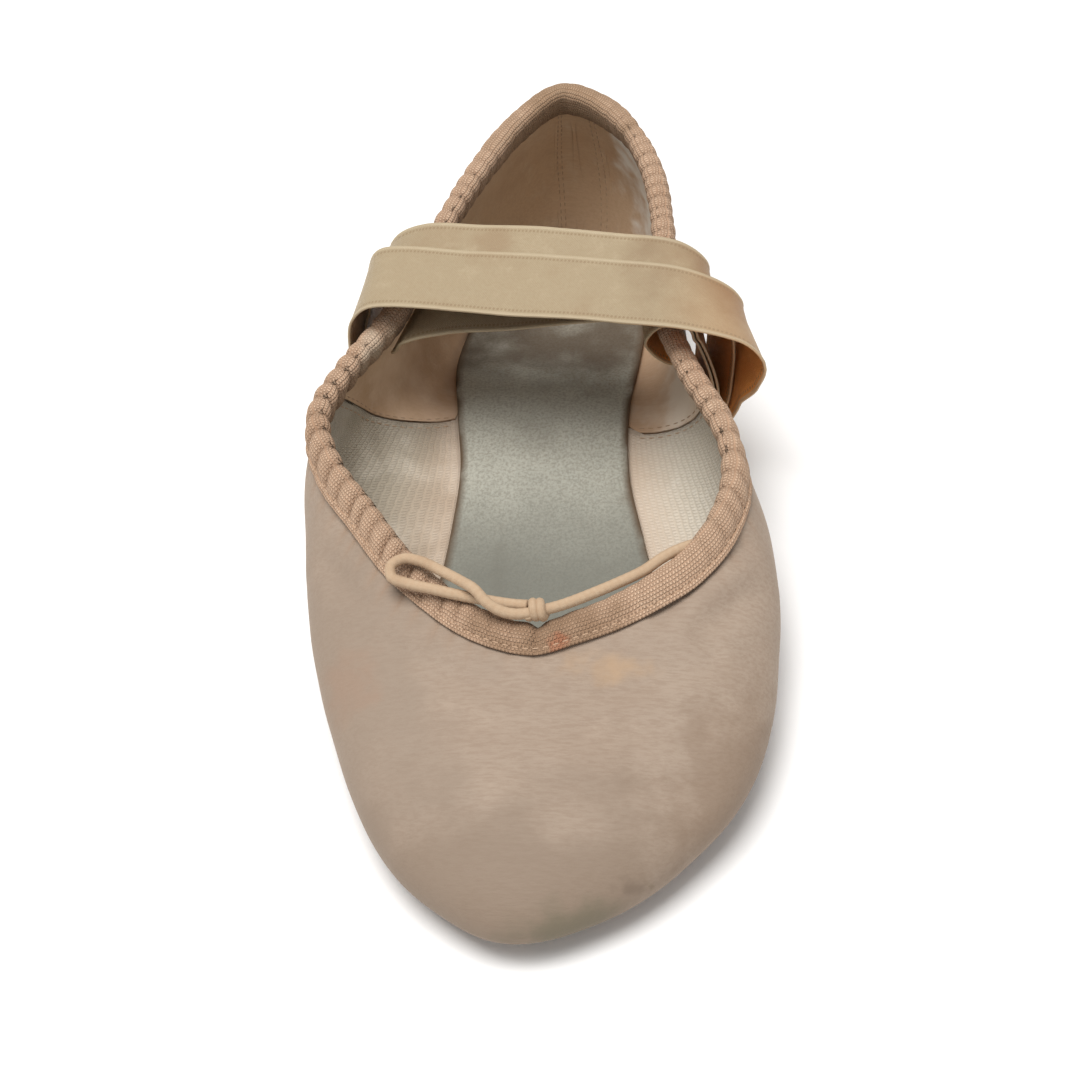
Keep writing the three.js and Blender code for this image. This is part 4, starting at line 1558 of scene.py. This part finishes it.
    def build(self) -> None:
        """Makes both ribbons."""
        material = RIBBON.build()
        self._selvedge(material)
        rows = (
            ("ribbon_big_toe", self.big_toe_stops(), 31, "ribbon_big_toe_side"),
            ("ribbon_little_toe", self.little_toe_stops(), 37, "ribbon_little_toe_side"),
        )
        for name, stops, seed, node in rows:
            ribbon, length = self._band(name, stops, seed)
            finished(ribbon, material, Slot.RIBBON, node)
            log.info("%s: %.1f mm long", name, length)

    def _selvedge(self, material: bpy.types.Material) -> None:
        """Adds the pale edges and the dotted line inside each to the ribbon's material."""
        t = Tree(material.node_tree)
        shader = t.tree.nodes["Principled BSDF"]
        tone = shader.inputs["Base Color"].links[0].from_socket
        split = t.add("ShaderNodeSeparateXYZ", {0: t.add("ShaderNodeUVMap", uv_map="cloth").outputs[0]})
        from_edge = t.math("PINGPONG", split.outputs[1], self.width / 2)
        rib = t.step(from_edge, 1.15, 0.75)
        dots = t.math("PINGPONG", split.outputs[0], 0.45)
        line = t.math("MULTIPLY", t.step(from_edge, 2.3, 1.9), t.step(from_edge, 1.2, 1.6))
        dotted = t.math("MULTIPLY", line, t.step(dots, 0.1, 0.3))
        pale = t.mix(t.math("MULTIPLY", rib, 0.6), tone, RIBBON.light)
        sewn = t.mix(t.math("MULTIPLY", dotted, 0.6), pale, colour(132, 108, 78))
        t.link(sewn, shader.inputs["Base Color"])


# The drawstring

STRAND = (
    (34.6, 80.9, 34.5),
    (31.4, 79.0, 34.8),
    (28.3, 76.6, 34.9),
    (24.3, 73.5, 34.1),
    (19.3, 70.5, 33.7),
    (14.3, 67.7, 33.5),
    (10.2, 65.3, 33.6),
    (7, 63.6, 33.8),
    (4, 62.4, 34.0),
    (1.4, 61.6, 34.0),
)
LOOP = (
    (-1.2, 61.2, 34.2),
    (-4, 61.4, 34.9),
    (-7, 62.7, 36.2),
    (-9.6, 65.2, 37.3),
    (-12.8, 68, 36.8),
    (-17.5, 71.4, 36.4),
    (-22, 74, 36.4),
    (-25.6, 74.8, 36.2),
    (-28, 73.4, 35.6),
    (-27.6, 70.8, 34.8),
    (-24, 69.4, 34.4),
    (-18.5, 67.8, 34.4),
    (-13.5, 66.4, 34.3),
    (-9.5, 65.6, 34.1),
    (-5.5, 65, 33.7),
    (-1.6, 64.2, 33.8),
    (1.2, 63.8, 34.0),
)


@dataclass
class Drawstring:
    """The braided cord that gathers the casing, with its knot and loop at the throat.

    Attributes:
        diameter: the cord's diameter.
        sides: points round it.
        knot_centre: the middle of the knot.
    """

    diameter: float = 2.3
    sides: int = 18
    knot_centre: Point = (3.2, 62.6, 34.0)

    def _cord(
        self, name: str, route: Route, radius: float, step: float = 0.3
    ) -> tuple[bpy.types.Object, np.ndarray]:
        """A braided tube.

        Args:
            name: the piece's name.
            route: the points that it runs through.
            radius: its radius.
            step: from one section to the next.

        Returns:
            The tube, and the middles of its sections.
        """
        (middle,) = resampled(open_spline(route, 30), step)
        tangent = unit(np.gradient(middle, axis=0))
        side = np.empty_like(tangent)
        side[0] = unit(np.cross(tangent[0], [0.0, 0.0, 1.0]))
        for i in range(1, len(tangent)):
            side[i] = unit(side[i - 1] - tangent[i] * (side[i - 1] @ tangent[i]))
        other = np.cross(tangent, side)
        along = lengths_along(middle)
        angle = np.linspace(0, math.tau, self.sides, endpoint=False)
        twist = along[:, None] * 2.1
        braid = np.sin(3 * angle + twist) * np.sin(3 * angle - twist)
        reach = radius * (1 + 0.03 * braid)
        rings = middle[:, None] + side[:, None] * (np.cos(angle) * reach)[..., None]
        rings += other[:, None] * (np.sin(angle) * reach)[..., None]
        around = np.append(angle, math.tau) * radius
        shade = np.clip(0.3 - 0.5 * braid, 0, 1) * 0.35
        piece = tube_mesh(name, rings, False, along, around, {"shade": shade})
        return piece, middle

    def build(self) -> None:
        material = CORD.build()
        cord, path = self._cord("drawstring_cord", STRAND + LOOP, self.diameter / 2)
        finished(cord, material, Slot.CORD, "drawstring_strand", "drawstring_loop")
        turns = np.linspace(-0.5, 1.9, 34) * math.tau
        spread = np.linspace(-1.7, 1.7, len(turns))
        x, y, z = self.knot_centre
        wound = 1.45
        wraps = [(x + s, y + wound * math.cos(a), z + wound * math.sin(a)) for s, a in zip(spread, turns)]
        knot, _ = self._cord("drawstring_wraps", wraps, 1.0)
        finished(knot, material, Slot.CORD, "drawstring_knot")


# Stitches


class Stitcher:
    """Rows of stitches, made by one Geometry Nodes tree."""

    def __init__(self, material: bpy.types.Material) -> None:
        """Builds the tree."""
        self.material = material
        self.tree = bpy.data.node_groups.new("stitch_row", "GeometryNodeTree")
        self.sockets: dict[str, str] = {}
        self.tree.interface.new_socket(name="Geometry", in_out="INPUT", socket_type="NodeSocketGeometry")
        for label in ("Spacing", "Length", "Thickness"):
            socket = self.tree.interface.new_socket(name=label, in_out="INPUT", socket_type="NodeSocketFloat")
            self.sockets[label] = socket.identifier
        self.tree.interface.new_socket(name="Geometry", in_out="OUTPUT", socket_type="NodeSocketGeometry")
        t = Tree(self.tree)
        given = t.add("NodeGroupInput").outputs
        curve = t.add("GeometryNodeMeshToCurve", {"Mesh": given["Geometry"]}).outputs[0]
        spots = {"Curve": curve, "Length": given["Spacing"]}
        places = t.add("GeometryNodeCurveToPoints", spots, mode="LENGTH").outputs
        align = t.add("FunctionNodeAlignRotationToVector", {"Vector": places["Tangent"]}, axis="X")
        ball = t.add("GeometryNodeMeshIcoSphere", {"Radius": 0.5, "Subdivisions": 2})
        thickness = given["Thickness"]
        size = t.add("ShaderNodeCombineXYZ", {0: given["Length"], 1: thickness, 2: thickness})
        sewn = {
            "Points": places["Points"],
            "Instance": ball.outputs["Mesh"],
            "Rotation": align.outputs["Rotation"],
            "Scale": size.outputs[0],
        }
        copies = t.add("GeometryNodeInstanceOnPoints", sewn).outputs[0]
        real = t.add("GeometryNodeRealizeInstances", {0: copies}).outputs[0]
        dress = t.add("GeometryNodeSetMaterial", {0: real, "Material": material}).outputs[0]
        t.add("NodeGroupOutput", {0: dress})

    def row(
        self,
        name: str,
        lines: Sequence[np.ndarray],
        spacing: float,
        length: float,
        thickness: float,
        slot: Slot,
    ) -> None:
        """Sews rows of stitches.

        Args:
            name: the piece's name.
            lines: the lines that the rows follow.
            spacing: from one stitch to the next.
            length: a stitch's length.
            thickness: the thread's thickness.
            slot: the record's slot.
        """
        points: list[list[float]] = []
        edges: list[tuple[int, int]] = []
        for line in lines:
            start = len(points)
            points += placed(line).tolist()
            edges += [(start + i, start + i + 1) for i in range(len(line) - 1)]
        mesh = bpy.data.meshes.new(name + "_line")
        mesh.from_pydata(points, edges, [])
        guide = linked(name + "_line", mesh)
        modifier = guide.modifiers.new("stitches", "NODES")
        modifier.node_group = self.tree
        for label, value in (("Spacing", spacing), ("Length", length), ("Thickness", thickness)):
            modifier[self.sockets[label]] = value * MM
        bpy.context.view_layer.update()
        evaluated = guide.evaluated_get(bpy.context.evaluated_depsgraph_get())
        result = bpy.data.meshes.new_from_object(evaluated)
        bpy.data.objects.remove(guide)
        result.name = name
        result.polygons.foreach_set("use_smooth", np.ones(len(result.polygons), bool))
        finished(linked(name, result), self.material, slot)


@dataclass
class Seams:
    """The rows of stitches and the back tape.

    Attributes:
        last: the form.
        middle: the point that the sole's stitches are set in towards.
        lining_depth: how far under the outer face the stitches of the lining's seams lie.
        tape_depth: the same for the back tape's stitches.
    """

    last: Last
    middle: Point = (0.0, 118.0, 0.0)
    lining_depth: float = 1.56
    tape_depth: float = 1.6

    def _inside(self, turn: np.ndarray, shares: np.ndarray, depth: float) -> np.ndarray:
        """Points at a depth under the wall's outer face. The rest is what wall_at takes and returns."""
        return self.last.wall_at(turn, shares) - self.last.normals_at(turn, shares) * depth

    def build(self) -> None:
        """Sews the seams."""
        stitcher = Stitcher(THREAD.build())
        turns = np.linspace(0, 1, 1400)
        out = np.full((len(turns), 1), 0.86)
        rows = self.last.by_rim(turns, np.array([self.last.casing_depth - self.last.casing_hem]), out)[:, 0]
        stitcher.row("casing_stitches", [rows], 2.1, 1.45, 0.32, Slot.TAPE)
        sole_turns = np.linspace(0, 1, 700)
        edge = self.last.wall_at(sole_turns, np.array([0.02]))[:, 0]
        edge[:, 2] = self.last.lift(edge[:, 1]) + 1.5
        inward = unit(np.array(self.middle) - edge * [1, 1, 0])
        stitcher.row("sole_stitches", [edge + inward * 2.2 - [0, 0, 1.4]], 3.4, 2.4, 0.34, Slot.SOLE)
        cross = []
        shares = np.linspace(0.1, 1.85, 40)
        for side in Side:
            for shift in (-0.0025, 0.0035):
                turns = seam_turn(shares, side) + shift
                cuts = [slice(j, j + 1) for j in range(len(shares))]
                points = [self._inside(turns[cut], shares[cut], self.lining_depth)[0] for cut in cuts]
                cross.append(np.concatenate(points))
        stitcher.row("lining_seam_stitches", cross, 2.2, 1.5, 0.3, Slot.SATIN)
        back = self.last.rim_turn(225, Side.BIG_TOE)
        tape = []
        for shift in (-0.0135, -0.0105, 0.0105, 0.0135):
            up = np.linspace(0.45, 1.85, 50)
            tape.append(self._inside(np.array([back + shift]), up, self.tape_depth)[0])
        stitcher.row("back_tape_stitches", tape, 2.0, 1.4, 0.3, Slot.SATIN)
        self._back_tape(back)

    def _back_tape(self, turn: float) -> None:
        """The tape over the back seam, inside."""
        turns = np.linspace(turn - 0.016, turn + 0.016, 40)
        shares = np.linspace(0.35, 1.9, 50)
        base = self.last.wall_at(turns, shares)
        normal = self.last.normals_at(turns, shares)
        seam = bump((turns - turn - 0.001) / 0.0014, 1.0)[:, None]
        groove = seam * 0.12
        outer = base - normal * 1.42
        inner = base - normal * (1.55 - groove)[..., None]
        rings = np.concatenate([outer, inner[:, ::-1]], axis=1)
        heights = lengths_along(base[0])
        around = np.concatenate([heights, heights[::-1], heights[:1]])
        shade = np.broadcast_to(seam, rings.shape[:2])
        along = self.last.rim_distance(turns)
        piece = tube_mesh("back_seam_tape", rings, False, along, around, {"shade": shade})
        finished(piece, HEEL_LINING.build(), Slot.SATIN)


# The stage


@dataclass
class Studio:
    """The floor, the lights and the camera.

    Attributes:
        eye: the camera's place, in the row's millimetres.
        tilt: how far it looks down, from straight down at 0.
        turn: how far it is turned about its own upright axis.
        lens: its focal length for a 36 mm sensor.
    """

    eye: Point = (48.9, -315.7, 314.0)
    tilt: float = 45.0
    turn: float = 6.6
    lens: float = 63.3

    def camera(self) -> None:
        """Sets up the camera at the photograph's viewing angle."""
        data = bpy.data.cameras.new("camera")
        data.lens = self.lens
        data.sensor_width = 36
        data.clip_start = 0.01
        camera = linked("camera", data)
        tilted = Matrix.Rotation(math.radians(self.tilt), 4, "X")
        turned = tilted @ Matrix.Rotation(math.radians(self.turn), 4, "Y")
        camera.matrix_world = Matrix.Translation(Vector(self.eye) * MM) @ turned
        bpy.context.scene.camera = camera

    def floor(self) -> None:
        """Lays the pale floor."""
        mesh = bpy.data.meshes.new("floor")
        reach = 6.0
        corners = [(reach * x, reach * y, 0) for x, y in ((-1, -1), (1, -1), (1, 1), (-1, 1))]
        mesh.from_pydata(corners, [], [(0, 1, 2, 3)])
        material = bpy.data.materials.new("pale_floor")
        material.use_nodes = True
        shader = material.node_tree.nodes["Principled BSDF"]
        shader.inputs["Base Color"].default_value = (0.93, 0.93, 0.93, 1)
        shader.inputs["Roughness"].default_value = 0.9
        shader.inputs["Specular IOR Level"].default_value = 0.1
        mesh.materials.append(material)
        floor = linked("floor", mesh)

    def _lamp(self, name: str, place: Point, size: float, power: float, tint: Point) -> None:
        """Adds a soft square lamp that faces the shoe.

        Args:
            name: its name.
            place: where it hangs, in metres.
            size: the length of its side, in metres.
            power: its power in watts.
            tint: its colour.
        """
        data = bpy.data.lights.new(name, "AREA")
        data.size = size
        data.energy = power
        data.color = tint
        lamp = linked(name, data)
        lamp.location = place
        lamp.rotation_euler = (Vector((0, 0, 0.02)) - Vector(place)).to_track_quat("-Z", "Y").to_euler()

    def lights(self) -> None:
        """Sets up the soft light."""
        self._lamp("window", (-0.14, -0.16, 1.3), 0.8, 19, (1.0, 0.985, 0.965))
        world = bpy.data.worlds.new("studio")
        world.use_nodes = True
        world.node_tree.nodes["Background"].inputs[0].default_value = (1, 1, 1, 1)
        world.node_tree.nodes["Background"].inputs[1].default_value = 0.47
        bpy.context.scene.world = world
        bpy.context.scene.view_settings.view_transform = "Standard"
        bpy.context.scene.view_settings.look = "None"


def main() -> None:
    """Builds the slipper and its stage."""
    logging.basicConfig(level=logging.INFO, format="%(name)s %(message)s")
    studio = Studio()
    studio.camera()
    Drawstring().build()
    last = Last()
    puckers = Puckers(last)
    Soles(last).build()
    Upper(last, puckers).build()
    Casing(last, puckers).build()
    Ribbons(last).build()
    Seams(last).build()
    studio.floor()
    studio.lights()


if __name__ == "__main__":
    main()
